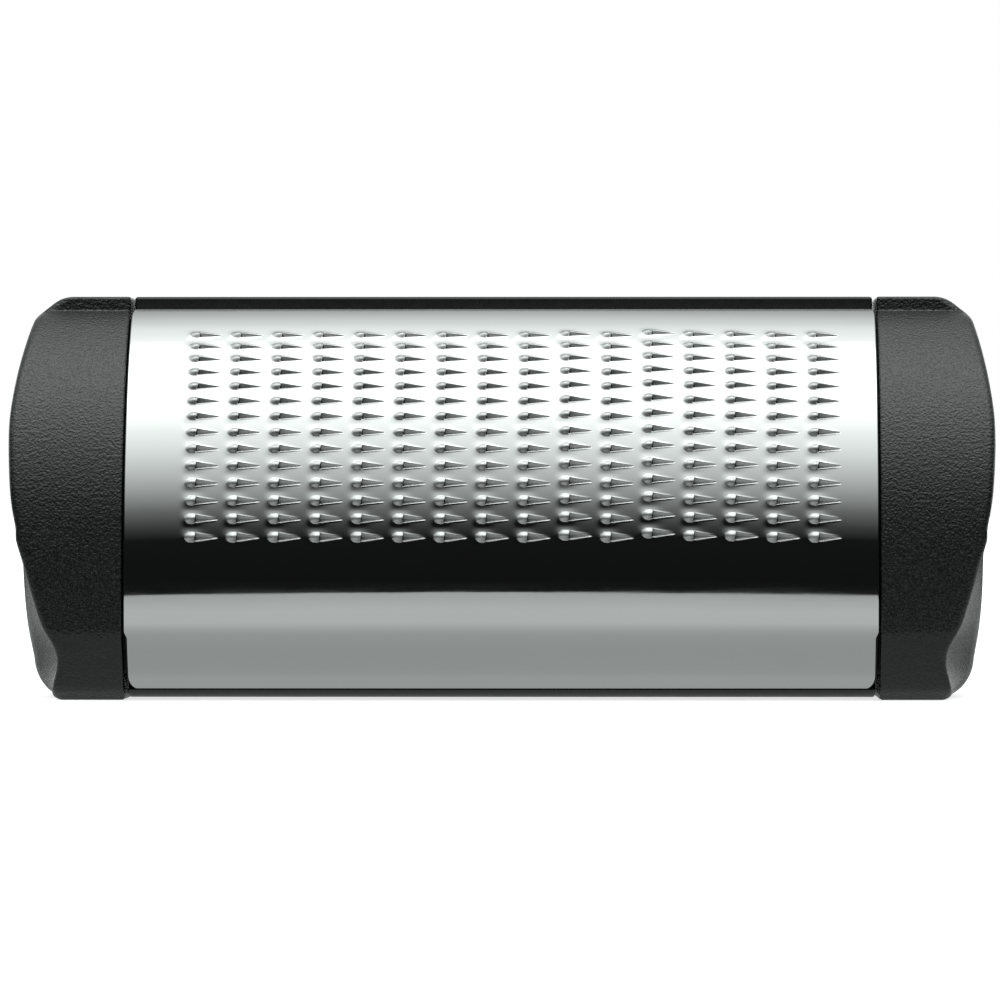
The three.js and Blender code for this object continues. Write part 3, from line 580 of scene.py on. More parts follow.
def on_plate(s):
    """Y, Z and normal angle in radians at distances down the curve from the crease."""
    starts = np.concatenate([[0], PLATE_ENDS[:-1]])
    stretches = [(TOP_CENTRE, TOP_RADIUS, CREASE_ANGLE), (MAIN_CENTRE, MAIN_RADIUS, ROWS_TOP),
                 (BEND_CENTRE, BEND_RADIUS, BEND_ANGLE), None, (TOE_CENTRE, TOE_RADIUS, FLAP_ANGLE)]
    y, z, angle = np.zeros_like(s), np.zeros_like(s), np.zeros_like(s)
    for k, stretch in enumerate(stretches):
        here = (s >= starts[k]) & (s <= PLATE_ENDS[k])
        along = s[here] - starts[k]
        if stretch is None:
            a = np.full(along.shape, math.radians(FLAP_ANGLE))
            y[here] = FLAP_TOP[0] - along * np.sin(a)
            z[here] = FLAP_TOP[1] - along * np.cos(a)
        else:
            centre, radius, start = stretch
            a = math.radians(start) - along / radius
            y[here] = centre[0] - radius * np.cos(a)
            z[here] = centre[1] + radius * np.sin(a)
        angle[here] = a
    return y, z, angle


def lines_along():
    """The lines that run along the plate: their s, row and q. A line on plain sheet has the row -1."""
    q_lines = OUTER_Q[::-1] + INNER_Q + [-q for q in OUTER_Q]
    rows = np.repeat(np.arange(ROWS), len(q_lines))
    above = np.concatenate([TOP_LINES, np.linspace(TOP_LINES[-1] + 2 * LINE_GAP, FIRST_LINE - LINE_GAP, 8)])
    jog_start, jog_end = JOG - JOG_LINES, JOG + JOG_LINES
    corner_start = PLATE_LENGTH - FOOT_CORNER[1]
    below = np.concatenate([np.linspace(LAST_LINE + LINE_GAP, jog_start - LINE_GAP, 16),
                            np.linspace(jog_start, jog_end, 8),
                            np.linspace(jog_end + LINE_GAP, corner_start - LINE_GAP, 9),
                            np.linspace(corner_start, PLATE_LENGTH - 2 * FOOT_EDGE, 10),
                            PLATE_LENGTH - np.array(FOOT_LINES)])
    s = np.concatenate([above, FIRST_ROW + rows * ROW_PITCH, below])
    row = np.concatenate([np.full(len(above), -1), rows, np.full(len(below), -1)])
    q = np.concatenate([np.zeros(len(above)), np.tile(q_lines, ROWS), np.zeros(len(below))])
    return s, row, q


def lines_down():
    """The lines that run down the plate: their X, column, u and side of the cut. Two lie at each cut."""
    u_lines = LEFT_LINES + RIGHT_LINES
    sides = [-1] * len(LEFT_LINES) + [1] * len(RIGHT_LINES)
    columns = np.repeat(np.arange(COLUMNS), len(u_lines))
    margin = np.array(SIDE_LINES)
    plain = np.zeros(len(margin))
    inner_x = FIRST_CUT_X + columns * COLUMN_PITCH + np.tile(u_lines, COLUMNS)
    x = np.concatenate([margin - SHEET_HALF, inner_x, SHEET_HALF - margin[::-1]])
    column = np.concatenate([plain - 1, columns, plain - 1])
    u = np.concatenate([plain, np.tile(u_lines, COLUMNS), plain])
    side = np.concatenate([plain - 1, np.tile(sides, COLUMNS), plain - 1])
    return x, column, u, side


class Sheet:
    """The plate as a grid. Its first index counts the lines down the plate, its second those along it."""

    def __init__(self):
        self.line_s, self.row, self.line_q = lines_along()
        self.line_x, self.column, self.line_u, self.line_side = lines_down()
        self.shape = (len(self.line_x), len(self.line_s))
        self.u = np.broadcast_to(self.line_u[:, None], self.shape)
        self.side = np.broadcast_to(self.line_side[:, None], self.shape)
        self.q = np.broadcast_to(self.line_q[None, :], self.shape)
        self.in_row = np.broadcast_to(self.row[None, :] >= 0, self.shape)
        self.tooth = self.in_row & (self.column[:, None] >= 0)
        self.lay_lines()
        self.raise_teeth()
        self.mark_wear_and_shade()
        self.draw_in_sides()
        self.round_edges()
        self.bend()

    def lay_lines(self):
        """Leads the lines round the rims of the teeth, and moves the columns that stand higher."""
        middle, half = rims(self.u)
        middle = np.where(self.side < 0, 0, middle)
        half = np.where(self.side < 0, RIM, half)
        plain = np.where(self.in_row, line_height(self.q, 0, RIM), 0)
        self.v = np.where(self.tooth, line_height(self.q, middle, half), plain)
        lift = np.array([COLUMN_LIFTS.get(c, 0.0) for c in self.column])
        stops = [0, TOP_LINES[-1], FIRST_LINE, LAST_LINE, LAST_LINE + LIFT_FADE, PLATE_LENGTH]
        share = np.interp(self.line_s, stops, [0, 0, 1, 1, 0, 0])
        self.s = self.line_s[None, :] - self.v - lift[:, None] * share[None, :]
        slant = CUT_SLANT * self.v * np.clip(1 - np.abs(self.u) / SLANT_REACH, 0, 1)
        self.x = self.line_x[:, None] + np.where(self.tooth, slant, 0)

    def height_at(self, u, v):
        return np.where(self.tooth, tooth_height(u, v, self.side), 0)

    def raise_teeth(self):
        """Heights over the sheet and their slopes, which are taken on one side of the cut only."""
        d = SLOPE_STEP
        self.height = self.height_at(self.u, self.v)
        ahead = self.height_at(self.u + np.where(self.side > 0, d, 0), self.v)
        behind = self.height_at(self.u - np.where(self.side < 0, d, 0), self.v)
        self.slope_u = (ahead - behind) / d
        self.slope_v = (self.height_at(self.u, self.v + d) - self.height_at(self.u, self.v - d)) / (2 * d)

    def mark_wear_and_shade(self):
        """0 on polished sheet, 1 where the punch wore it, and more where painted shade darkens it: in the
        trough's deep end and on the lower right of the dome."""
        on_dome = smooth_step(DULL_EDGE * (DULL_REACH - dome_reach(self.u, self.v)))
        in_trough = (np.abs(self.q) <= 1) & (self.u < TROUGH_LENGTH)
        shade_beside_cut = smooth_step((self.u - SHADE_START) / SHADE_LENGTH) * smooth_step(SHADE_UP - self.v / RIM)
        # painted shade in the trough's deep end
        deep = in_trough * np.exp(-self.u / SHADE_LENGTH)
        wear_and_shade = np.where(self.side < 0, on_dome, in_trough)
        shaded = np.where(self.side < 0, shade_beside_cut, deep)
        self.wear_and_shade = np.where(self.tooth, wear_and_shade * (1 + SHADE * shaded), 0)

    def draw_in_sides(self):
        """The sides draw in towards the rounded corners, and below the jog."""
        narrow = JOG_DEPTH * smooth_step(self.s - JOG + JOG_HALF)
        narrow = narrow + bite(*TOP_CORNER, self.s) + bite(*FOOT_CORNER, PLATE_LENGTH - self.s)
        near_side = np.clip((np.abs(self.x) - CORNER_X) / CORNER_REACH, 0, 1)
        self.x = self.x - np.sign(self.x) * narrow * near_side

    def round_edges(self):
        to_side = np.clip(1 - (SHEET_HALF - np.abs(self.line_x)) / SIDE_EDGE, 0, 1)
        self.to_side = np.broadcast_to(to_side[:, None], self.shape)
        self.to_top = np.clip(1 - self.s / TOP_EDGE, 0, 1)
        self.to_foot = np.clip(1 - (PLATE_LENGTH - self.s) / FOOT_EDGE, 0, 1)
        for radius, t in ((SIDE_EDGE, self.to_side), (TOP_EDGE, self.to_top), (FOOT_EDGE, self.to_foot)):
            self.height = self.height - radius * (1 - np.sqrt(1 - t ** 2))

    def bend(self):
        """Lays the sheet on its curve: the points of its two faces and their normals."""
        y, z, angle = on_plate(np.clip(self.s, 0, PLATE_LENGTH))
        level = np.zeros_like(angle)
        self.out = np.stack([level, -np.cos(angle), np.sin(angle)], -1)
        up = np.stack([level, np.sin(angle), np.cos(angle)], -1)
        base = np.stack([self.x, y, z], -1)
        self.top = base + self.out * self.height[..., None]
        self.under = base + self.out * (UNDER_SHARE * self.height - SHEET)[..., None]
        bow = math.radians(SHEET_BOW) * (1 - (self.x / SHEET_HALF) ** 2)
        flatter = FLATTER_SHARE * np.clip(angle - math.radians(FLATTER_FROM), 0, 1)
        tilt_x = -self.slope_u + np.sign(self.x) * lean(self.to_side)
        tilt_up = -self.slope_v + lean(self.to_top) - lean(self.to_foot) - bow - np.tan(flatter)
        normal = self.out + tilt_x[..., None] * np.array([1.0, 0, 0]) + tilt_up[..., None] * up
        self.normal = normal / np.linalg.norm(normal, axis=-1)[..., None]

    def join_cuts(self, index, seam):
        """Joins the two lines at each cut, except between the rims. Gives what each point becomes."""
        count = index.size
        whole = (self.row < 0) | (np.abs(self.line_q) >= 1)
        becomes = np.arange(2 * count)
        for i in np.nonzero(seam)[0]:
            for face, shift in ((self.top, 0), (self.under, count)):
                face[i, whole] = (face[i, whole] + face[i + 1, whole]) / 2
                becomes[index[i + 1, whole] + shift] = index[i, whole] + shift
            self.normal[i, whole] += self.normal[i + 1, whole]
            self.normal[i, whole] /= np.linalg.norm(self.normal[i, whole], axis=-1)[:, None]
        return becomes

    def quads(self):
        """Quads of the upper face and the lower one, and of the walls round the outside and each opening."""
        column, side, row, q = self.column, self.line_side, self.row, np.abs(self.line_q)
        index = np.arange(self.shape[0] * self.shape[1]).reshape(self.shape)
        count = index.size
        same_column = (column[:-1] >= 0) & (column[:-1] == column[1:])
        seam = same_column & (side[:-1] < 0) & (side[1:] > 0)
        becomes = self.join_cuts(index, seam)
        past_cut = same_column & (side[:-1] > 0) & (self.line_u[1:] <= OPENING)
        between = (row[:-1] >= 0) & (row[:-1] == row[1:]) & (q[:-1] <= OPENING_Q) & (q[1:] <= OPENING_Q)
        i, k = np.nonzero(~seam[:, None] & ~(past_cut[:, None] & between[None, :]))
        a, b, c, e = (becomes[index[i + di, k + dk]] for di, dk in ((0, 0), (0, 1), (1, 1), (1, 0)))
        upper = np.stack([a, b, c, e], 1)
        lower = np.stack([a, e, c, b], 1) + count
        starts = upper.reshape(-1)
        stops = np.roll(upper, -1, 1).reshape(-1)
        free = ~np.isin(starts * (2 * count) + stops, stops * (2 * count) + starts)
        starts, stops = starts[free], stops[free]
        walls = np.stack([stops, starts, starts + count, stops + count], 1)
        return np.concatenate([upper, lower, walls])


def make_plate():
    sheet = Sheet()
    quads = sheet.quads()
    used, faces = np.unique(quads, return_inverse=True)
    faces = faces.reshape(-1, 4)
    verts = np.concatenate([sheet.top.reshape(-1, 3), sheet.under.reshape(-1, 3)])[used]
    normals = np.concatenate([sheet.normal.reshape(-1, 3), -sheet.out.reshape(-1, 3)])[used]
    marks = np.concatenate([sheet.wear_and_shade.reshape(-1), sheet.wear_and_shade.reshape(-1)])[used]
    new_piece("grater_sheet", verts, faces.tolist(), "steel", "container", "grater_plate", normals,
              marks=marks)


make_plate()


# End caps
# A cap is the zero surface of a signed distance, in millimetres, negative inside.

# The outer end, seen from the front: an upper and a lower crown, and the lobe that the fingers lie behind
UPPER_CROWN = 62.0
UPPER_CROWN_Z = 28.5
LOWER_CROWN = 55.0
LOWER_CROWN_Z = 32.5
CROWN_X = CAP_END - 0.35
LOBE_X = 58.05
LOBE_Z = 14.6
LOBE_CROWN = 60.0
FOOT_ROUND = 4.8
FOOT_START = 1.2
FOOT_TURN = 72.0
CHAMFER_X = 53.6
CHAMFER_SLOPE = 1.27
CAP_LIP_FORWARD = 0.7
# Seen from above
PLAN_X = CAP_END + 0.25
PLAN_CROWN = 200.0
PLAN_FRONT_ROUND = 1.5
PLAN_BACK_ROUND = 4.0
# Outlines start this far inside the body and run this far past the cap
CAP_INNER_X = 40.0
BEYOND = 4.0
# The finger scoop: its crease on the front, in X and Z, smoothed over a few shifts of Z, and how the
# scoop opens behind it
SCOOP_CREASE = [(54.6, -2.0), (54.0, 1.3), (53.15, 4.2), (53.4, 6.3), (54.6, 8.2), (55.2, 9.6), (56.8, 15.0),
                (57.4, 17.3), (58.4, 19.3), (61.0, 21.5), (68.0, 24.0)]
CREASE_SHIFTS = np.linspace(-0.9, 0.9, 5)
SCOOP_LENGTH = 21.0
SCOOP_FLARE = 4.2
SCOOP_STEEPNESS = 1.2
# The hollow inside: it ends here beside the scoop, and nearer to the cap's end above it
CAP_POCKET_X = 50.7
CAP_POCKET_STEP_Z = 17.0
CAP_POCKET_RISE = 5.0
CAP_END_WALL = 4.0
CAP_SHOULDER_WALL = 6.0
CAP_SHOULDER_DROP = 13.0
# How softly two faces meet
END_SOFTNESS = 0.3
CHAMFER_SOFTNESS = 0.45
SECTION_SOFTNESS = 0.9
SCOOP_SOFTNESS = 0.75
INNER_SOFTNESS = 0.25
# The grid that the surface is found on, and the steps that draw it onto the surface
CAP_GRID = 0.3
SETTLING_ROUNDS = 3
LONGEST_STEP = 0.12
LEAST_STEEPNESS = 0.2
SIDE_ROOM = 2.0
FOOT_ROOM = 1.5
# The front stays upright further down than the plate does: pitch of the form, and pitch that its shading has
FRONT_FACING = 0.75
END_FACING = 0.25
FORM_PITCH = [-90, -36, -10, 0, 12, 90]
SHADED_PITCH = [-90, -36, 2, 5, 12, 90]


class Outline:
    """The signed distance to a closed outline, kept on a grid and read between its points."""

    def __init__(self, points, low, high, step=0.15):
        self.low, self.step = np.array(low, float), step
        self.size = np.ceil((np.array(high) - self.low) / step).astype(int) + 1
        axes = [self.low[k] + step * np.arange(self.size[k]) for k in (0, 1)]
        at = np.stack(np.meshgrid(*axes, indexing="ij"), -1).reshape(-1, 2)
        nearest = np.full(len(at), 1e9)
        inside = np.zeros(len(at), bool)
        points = np.array(points)
        for a, b in zip(points, np.roll(points, -1, 0)):
            side, off = b - a, at - a
            t = np.clip(off @ side / max(side @ side, 1e-12), 0, 1)
            nearest = np.minimum(nearest, np.sum((off - t[:, None] * side) ** 2, 1))
            if a[1] != b[1]:
                crosses = (a[1] > at[:, 1]) != (b[1] > at[:, 1])
                inside ^= crosses & (at[:, 0] < side[0] * (at[:, 1] - a[1]) / side[1] + a[0])
        self.grid = (np.sqrt(nearest) * np.where(inside, -1, 1)).reshape(self.size)

    def __call__(self, a, b):
        fa, fb = (a - self.low[0]) / self.step, (b - self.low[1]) / self.step
        i = np.clip(fa.astype(int), 0, self.size[0] - 2)
        j = np.clip(fb.astype(int), 0, self.size[1] - 2)
        ta, tb = fa - i, fb - j
        near = self.grid[i, j] * (1 - ta) + self.grid[i + 1, j] * ta
        far = self.grid[i, j + 1] * (1 - ta) + self.grid[i + 1, j + 1] * ta
        return near * (1 - tb) + far * tb


def meet(a, b, softness):
    """The part inside both of two shapes, with its edge rounded."""
    h = np.clip(1 - np.abs(a - b) / softness, 0, 1)
    return np.maximum(a, b) + h * h * softness / 4


def crown(radius, distance):
    """How far an arc falls back at a distance from its middle."""
    return radius - np.sqrt(radius ** 2 - distance ** 2)


def end_outline():
    """The cap's outer end, in X and Z. The section trims it at the top and the foot."""
    foot_x = LOBE_X - crown(LOBE_CROWN, FOOT_ROUND - LOBE_Z) - FOOT_ROUND
    start = foot_x + FOOT_START
    points = [(CAP_INNER_X, HEIGHT + BEYOND), (CAP_INNER_X, -BEYOND), (start, -BEYOND), (start, 0)]
    points += corner(foot_x, FOOT_ROUND, FOOT_ROUND, -FOOT_TURN, FOOT_TURN, 12)
    points += [(LOBE_X - crown(LOBE_CROWN, z - LOBE_Z), z) for z in np.linspace(FOOT_ROUND, LOBE_Z, 14)[1:]]
    middle = (UPPER_CROWN_Z + LOWER_CROWN_Z) / 2
    for z in np.linspace(LOBE_Z, middle, 26)[1:]:
        points.append((max(LOBE_X, CROWN_X - crown(LOWER_CROWN, z - LOWER_CROWN_Z)), z))
    for z in np.linspace(middle, HEIGHT + BEYOND, 24)[1:]:
        points.append((CROWN_X - crown(UPPER_CROWN, z - UPPER_CROWN_Z), z))
    return points


def plan_outline():
    """The cap's outer end, in X and Y."""
    front, back = FRONT + PLAN_FRONT_ROUND, BACK - PLAN_BACK_ROUND
    front_x = PLAN_X - crown(PLAN_CROWN, front) - PLAN_FRONT_ROUND
    back_x = PLAN_X - crown(PLAN_CROWN, back) - PLAN_BACK_ROUND
    points = [(CAP_INNER_X, BACK + BEYOND), (CAP_INNER_X, FRONT - BEYOND), (front_x, FRONT - BEYOND)]
    points += corner(front_x, front, PLAN_FRONT_ROUND, -90, steps=8)
    points += [(PLAN_X - crown(PLAN_CROWN, y), y) for y in np.linspace(front, back, 30)[1:]]
    points += corner(back_x, back, PLAN_BACK_ROUND, 0, steps=14) + [(back_x, BACK + BEYOND)]
    return points


def cap_section():
    """The cap's outside, in Y and Z."""
    crease = CREASE_ANGLE - math.degrees(CAP_LIP_FORWARD / TOP_RADIUS)
    curve = front_curve(0, crease, FOOT_ANGLE)
    foot = curve[-1][0] - curve[-1][1] * math.tan(math.radians(FOOT_ANGLE))
    roof_edge = [(y - CAP_LIP_FORWARD, z) for y, z in lip()]
    return roof_edge + curve + [(foot, 0)] + back_curve(0, 0)


def cap_hollow():
    """The cap's inside, in Y and Z."""
    front = front_curve(CAP_WALL)
    step = front[0][0] + FIT_GAP
    roof = [(step + CAP_WALL - WALL, HEIGHT - CAP_WALL), (step, front[0][1])]
    return front + back_curve(CAP_WALL, BODY_LIFT) + roof


def cap_pocket():
    """How far the hollow reaches towards the end, in X and Z."""
    deep = CAP_END - CAP_END_WALL
    beside_scoop = [(CAP_POCKET_X, 0), (CAP_POCKET_X, CAP_POCKET_STEP_Z)]
    above_scoop = [(deep, CAP_POCKET_STEP_Z + CAP_POCKET_RISE), (deep, HEIGHT - CAP_SHOULDER_DROP)]
    top = [(CAP_END - CAP_SHOULDER_WALL, HEIGHT), (CAP_INNER_X, HEIGHT)]
    return [(CAP_INNER_X, 0)] + beside_scoop + above_scoop + top


# Low and high corners of the boxes that the outlines are kept in, with some room round the cap
XZ = ((BODY_HALF - SIDE_ROOM, -FOOT_ROOM), (CAP_END + SIDE_ROOM, HEIGHT + FOOT_ROOM))
XY = ((BODY_HALF - SIDE_ROOM, FRONT - SIDE_ROOM), (CAP_END + SIDE_ROOM, BACK + SIDE_ROOM))
YZ = ((FRONT - SIDE_ROOM, -FOOT_ROOM), (BACK + SIDE_ROOM, HEIGHT + FOOT_ROOM))
END = Outline(end_outline(), *XZ)
PLAN = Outline(plan_outline(), *XY)
SECTION = Outline(cap_section(), *YZ)
HOLLOW = Outline(cap_hollow(), *YZ)
POCKET = Outline(cap_pocket(), *XZ)
FRONT_LINE = np.array(front_curve(0, CREASE_ANGLE, FOOT_ANGLE))[::-1]
CREASE_LINE = np.array(SCOOP_CREASE)


def scoop_value(x, y, z):
    """A finger scoop that starts at a crease on the front and opens towards the lobe behind it."""
    front = np.interp(z, FRONT_LINE[:, 1], FRONT_LINE[:, 0])
    starts = [np.interp(z + shift, CREASE_LINE[:, 1], CREASE_LINE[:, 0]) for shift in CREASE_SHIFTS]
    start = sum(starts) / len(starts)
    t = np.clip((y - front) / SCOOP_LENGTH, 0, 2)
    return (x - start - SCOOP_FLARE * t ** 3) / SCOOP_STEEPNESS


def cap_value(p):
    """The right cap's signed distance at each of many points."""
    x, y, z = p.T
    chamfer = ((x - CHAMFER_X) + (z - HEIGHT) * CHAMFER_SLOPE) / math.hypot(1, CHAMFER_SLOPE)
    inside = np.maximum(HOLLOW(y, z), POCKET(x, z))
    body = meet(END(x, z), PLAN(x, y), END_SOFTNESS)
    body = meet(body, chamfer, CHAMFER_SOFTNESS)
    body = meet(body, SECTION(y, z), SECTION_SOFTNESS)
    body = meet(body, scoop_value(x, y, z), SCOOP_SOFTNESS)
    body = meet(body, CAP_START - x, INNER_SOFTNESS)
    return meet(body, -inside, INNER_SOFTNESS)


def slope_of(value, points, d=0.05):
    """The gradient of a function of points."""
    slope = np.zeros_like(points)
    for k in range(3):
        step = np.zeros(3)
        step[k] = d
        slope[:, k] = (value(points + step) - value(points - step)) / (2 * d)
    return slope


def net_points(v, low, step):
    """A point in each cell that the zero surface passes through, and the number of each cell's point."""
    cells = tuple(n - 1 for n in v.shape)
    total = np.zeros(cells + (3,))
    hits = np.zeros(cells)

    def at(c):
        return v[tuple(slice(c[k], c[k] + cells[k]) for k in range(3))]

    for a in np.ndindex(2, 2, 2):
        for axis in range(3):
            if a[axis]:
                continue
            b = tuple(1 if k == axis else a[k] for k in range(3))
            va, vb = at(a), at(b)
            crosses = (va < 0) != (vb < 0)
            t = np.where(crosses, va / np.where(crosses, va - vb, 1), 0)
            for k in range(3):
                total[..., k] += crosses * (a[k] + (t if k == axis else 0))
            hits += crosses
    active = hits > 0
    ids = np.full(cells, -1)
    ids[active] = np.arange(active.sum())
    points = (np.argwhere(active) + total[active] / hits[active][:, None]) * step + np.array(low)
    return points, ids


def net_quads(v, ids, axis):
    """A quad round each edge along one axis that the zero surface crosses, facing outwards."""
    b = (axis + 1) % 3
    c = (axis + 2) % 3
    va = np.take(v, range(v.shape[axis] - 1), axis)
    vb = np.take(v, range(1, v.shape[axis]), axis)
    found = np.argwhere((va < 0) != (vb < 0))
    for k in (b, c):
        found = found[(found[:, k] > 0) & (found[:, k] < ids.shape[k])]
    around = []
    for db, dc in ((-1, -1), (0, -1), (0, 0), (-1, 0)):
        cell = found.copy()
        cell[:, b] += db
        cell[:, c] += dc
        around.append(ids[tuple(cell.T)])
    around = np.stack(around, 1)
    outward = va[tuple(found.T)] >= 0
    around[outward] = around[outward][:, ::-1]
    return around


def surface_net(value, low, high, step):
    """Points and quads of the zero surface of a function in a box."""
    size = np.ceil((np.array(high) - np.array(low)) / step).astype(int) + 1
    axes = [low[k] + step * np.arange(size[k]) for k in range(3)]
    grid = np.stack(np.meshgrid(*axes, indexing="ij"), -1).reshape(-1, 3)
    v = np.concatenate([value(part) for part in np.array_split(grid, 12)]).reshape(size)
    points, ids = net_points(v, low, step)
    return points, np.concatenate([net_quads(v, ids, axis) for axis in range(3)])


def shaded_normals(normals):
    """Turns the normals of the front from the pitch of the form to the pitch that its shading has."""
    pitch = np.degrees(np.arctan2(normals[:, 2], -normals[:, 1]))
    on_front = (normals[:, 1] < -FRONT_FACING) & (np.abs(normals[:, 0]) < END_FACING)
    turn = np.radians(np.where(on_front, np.interp(pitch, FORM_PITCH, SHADED_PITCH) - pitch, 0))
    x, y, z = normals.T
    return np.stack([x, y * np.cos(turn) + z * np.sin(turn), z * np.cos(turn) - y * np.sin(turn)], 1)


def make_caps():
    """The right cap, and its mirror image at the left."""
    low = (CAP_START - 1.5 * CAP_GRID, FRONT - 2 * CAP_GRID, -2 * CAP_GRID)
    high = (CAP_END + 2 * CAP_GRID, BACK + 2 * CAP_GRID, HEIGHT + 2 * CAP_GRID)
    points, quads = surface_net(cap_value, low, high, CAP_GRID)
    for _ in range(SETTLING_ROUNDS):
        slope = slope_of(cap_value, points)
        steepness = np.maximum(np.sum(slope ** 2, 1), LEAST_STEEPNESS)
        points = points - slope * np.clip(cap_value(points) / steepness, -LONGEST_STEP, LONGEST_STEP)[:, None]
    normals = slope_of(cap_value, points)
    normals /= np.maximum(np.linalg.norm(normals, axis=1), 1e-6)[:, None]
    normals = shaded_normals(normals)
    for side, node, body in ((-1, "left_cap", "lid"), (1, "right_cap", "drawer")):
        flip = np.array([side, 1, 1])
        faces = (quads if side > 0 else quads[:, ::-1]).tolist()
        new_piece(node + "_shell", points * flip, faces, "grained_black", body, node, normals * flip)


make_caps()


# Body shell and floor

BASE_RECESS_DEPTH = 1.3
BASE_HOLE_RADIUS = 1.1
OVERSHOOT = 1.0
SHARP_ANGLE = 35


def shell_section(inset):
    """Roof, back and the rear of the underside. An inset draws the whole outline in."""
    under_lip = CREASE[1] + LIP_GAP + inset
    step = ROOF_STEP + inset
    rear = BASE_REAR + FIT_GAP + inset
    points = lip(inset) + [(CREASE[0] + LIP_UNDERCUT + inset, under_lip), (step, under_lip)]
    points += [(step, HEIGHT - WALL + inset)] + back_curve(WALL - inset, BODY_LIFT)[::-1]
    points += [(rear, BODY_LIFT + WALL - inset), (rear, BODY_LIFT + inset)]
    return points + back_curve(inset, BODY_LIFT)


def floor_section(inset):
    """The toe under the plate and the flat floor behind it."""
    start = PLATE_END_ANGLE - TOE_GAP - math.degrees(inset / TOE_RADIUS)
    angles = np.linspace(start, TOE_END_ANGLE, 24)
    points = [arc_point(TOE_CENTRE, TOE_RADIUS - inset, angle) for angle in angles]
    rear = BASE_REAR - inset
    top = BODY_LIFT + WALL - inset
    inner = front_curve(WALL, PLATE_END_ANGLE)[0][0] + inset
    return points + [(rear, BODY_LIFT + inset), (rear, top), (inner, top)]


def make_shell():
    verts, faces = rounded_prism(shell_section, SHELL_HALF, END_ROUND)
    new_piece("body_shell", verts, faces, "smooth_black", "container", "rear_shell", sharp=SHARP_ANGLE)


def make_floor_panel():
    """The floor panel, with a recess and a hole for each of its screws."""
    verts, faces = rounded_prism(floor_section, SHELL_HALF, END_ROUND)
    piece = new_piece("body_floor", verts, faces, "smooth_black", "container", "base_plate")
    tools = []
    recess_top = BODY_LIFT + BASE_RECESS_DEPTH
    hole_top = BODY_LIFT + WALL + OVERSHOOT
    for x in (-BASE_SCREW_X, BASE_SCREW_X):
        for y in (STORE_FRONT + BOSS_RADIUS + BOSS_MARGIN, BASE_REAR - BOSS_RADIUS - BOSS_MARGIN):
            tools.append(upright_rod(HEAD_RADIUS + FIT_GAP, x, y, -OVERSHOOT, recess_top))
            tools.append(upright_rod(BASE_HOLE_RADIUS, x, y, recess_top - OVERSHOOT, hole_top))
    cut(piece, tools, SHARP_ANGLE)


make_shell()
make_floor_panel()


# Screws, each with a domed head, a cross recess and a thread

HEAD_RIM = 0.4
HEAD_EDGE = 0.06
HEAD_RINGS = 7
DOME_START = 0.35
DOME_SHAPE = 0.7
RECESS_REACH = 1.15
RECESS_HALF = 0.3
RECESS_DEPTH = 0.75
RECESS_TAPER = 0.8
RECESS_LIP = 1.04
RECESS_CLEARANCE = 1.08
RECESS_MIDDLE = 0.02
SHANK_RADIUS = 1.0
TIP_RADIUS = 0.05
THREAD_START = 0.1
THREAD_PITCH = 0.6
THREAD_DEPTH = 0.17
RINGS_PER_TURN = 6
TIP_LENGTH = 1.5
TIP_SHARE = 0.35
SCREW_SIDES = 40
SCREW_SHARP_ANGLE = 38
# Body, axis and way of the head, by the start of the node's name
SCREW_HEAD_WAYS = {"left_frame": ("container", 0, -1), "right_frame": ("container", 0, 1),
                   "base": ("container", 2, -1), "left_cap": ("lid", 0, 1),
                   "right_cap": ("drawer", 0, -1), "tray": ("drawer", 0, 1)}


def cross(angle):
    """How far the cross recess reaches at an angle."""
    off = abs((angle + math.pi / 4) % (math.pi / 2) - math.pi / 4)
    return min(RECESS_REACH / math.cos(off), RECESS_HALF / max(math.sin(off), 0.01))


def thread(depth, length):
    """Radius of the shank round a ring at a depth under the head."""
    taper = min(1, (length - depth) / TIP_LENGTH)

    def radius(angle):
        phase = (depth / THREAD_PITCH + angle / (2 * math.pi)) % 1
        return (SHANK_RADIUS - THREAD_DEPTH * abs(2 * phase - 1)) * (TIP_SHARE + (1 - TIP_SHARE) * taper)

    return radius


def even(radius):
    return lambda angle: radius


def screw_rings(length):
    """Each ring's radius by angle and its height, from the middle of the recess to the tip."""
    recess_floor = HEAD_HEIGHT - RECESS_DEPTH
    rings = [(even(RECESS_MIDDLE), recess_floor),
             (lambda angle: RECESS_TAPER * cross(angle), recess_floor),
             (cross, HEAD_HEIGHT - HEAD_EDGE),
             (lambda angle: RECESS_LIP * cross(angle), HEAD_HEIGHT)]
    for turn in np.linspace(DOME_START, 1, HEAD_RINGS) * math.pi / 2:
        radius = HEAD_RADIUS * math.sin(turn)
        height = HEAD_RIM + (HEAD_HEIGHT - HEAD_RIM) * math.cos(turn) ** DOME_SHAPE
        if radius > RECESS_REACH * RECESS_CLEARANCE:
            rings.append((even(radius), height))
    rings.append((even(HEAD_RADIUS), HEAD_EDGE))
    rings.append((even(HEAD_RADIUS - HEAD_EDGE), 0.0))
    rings.append((even(SHANK_RADIUS), 0.0))
    for depth in np.arange(THREAD_START, length, THREAD_PITCH / RINGS_PER_TURN):
        rings.append((thread(depth, length), -depth))
    rings.append((even(TIP_RADIUS), -length))
    return rings


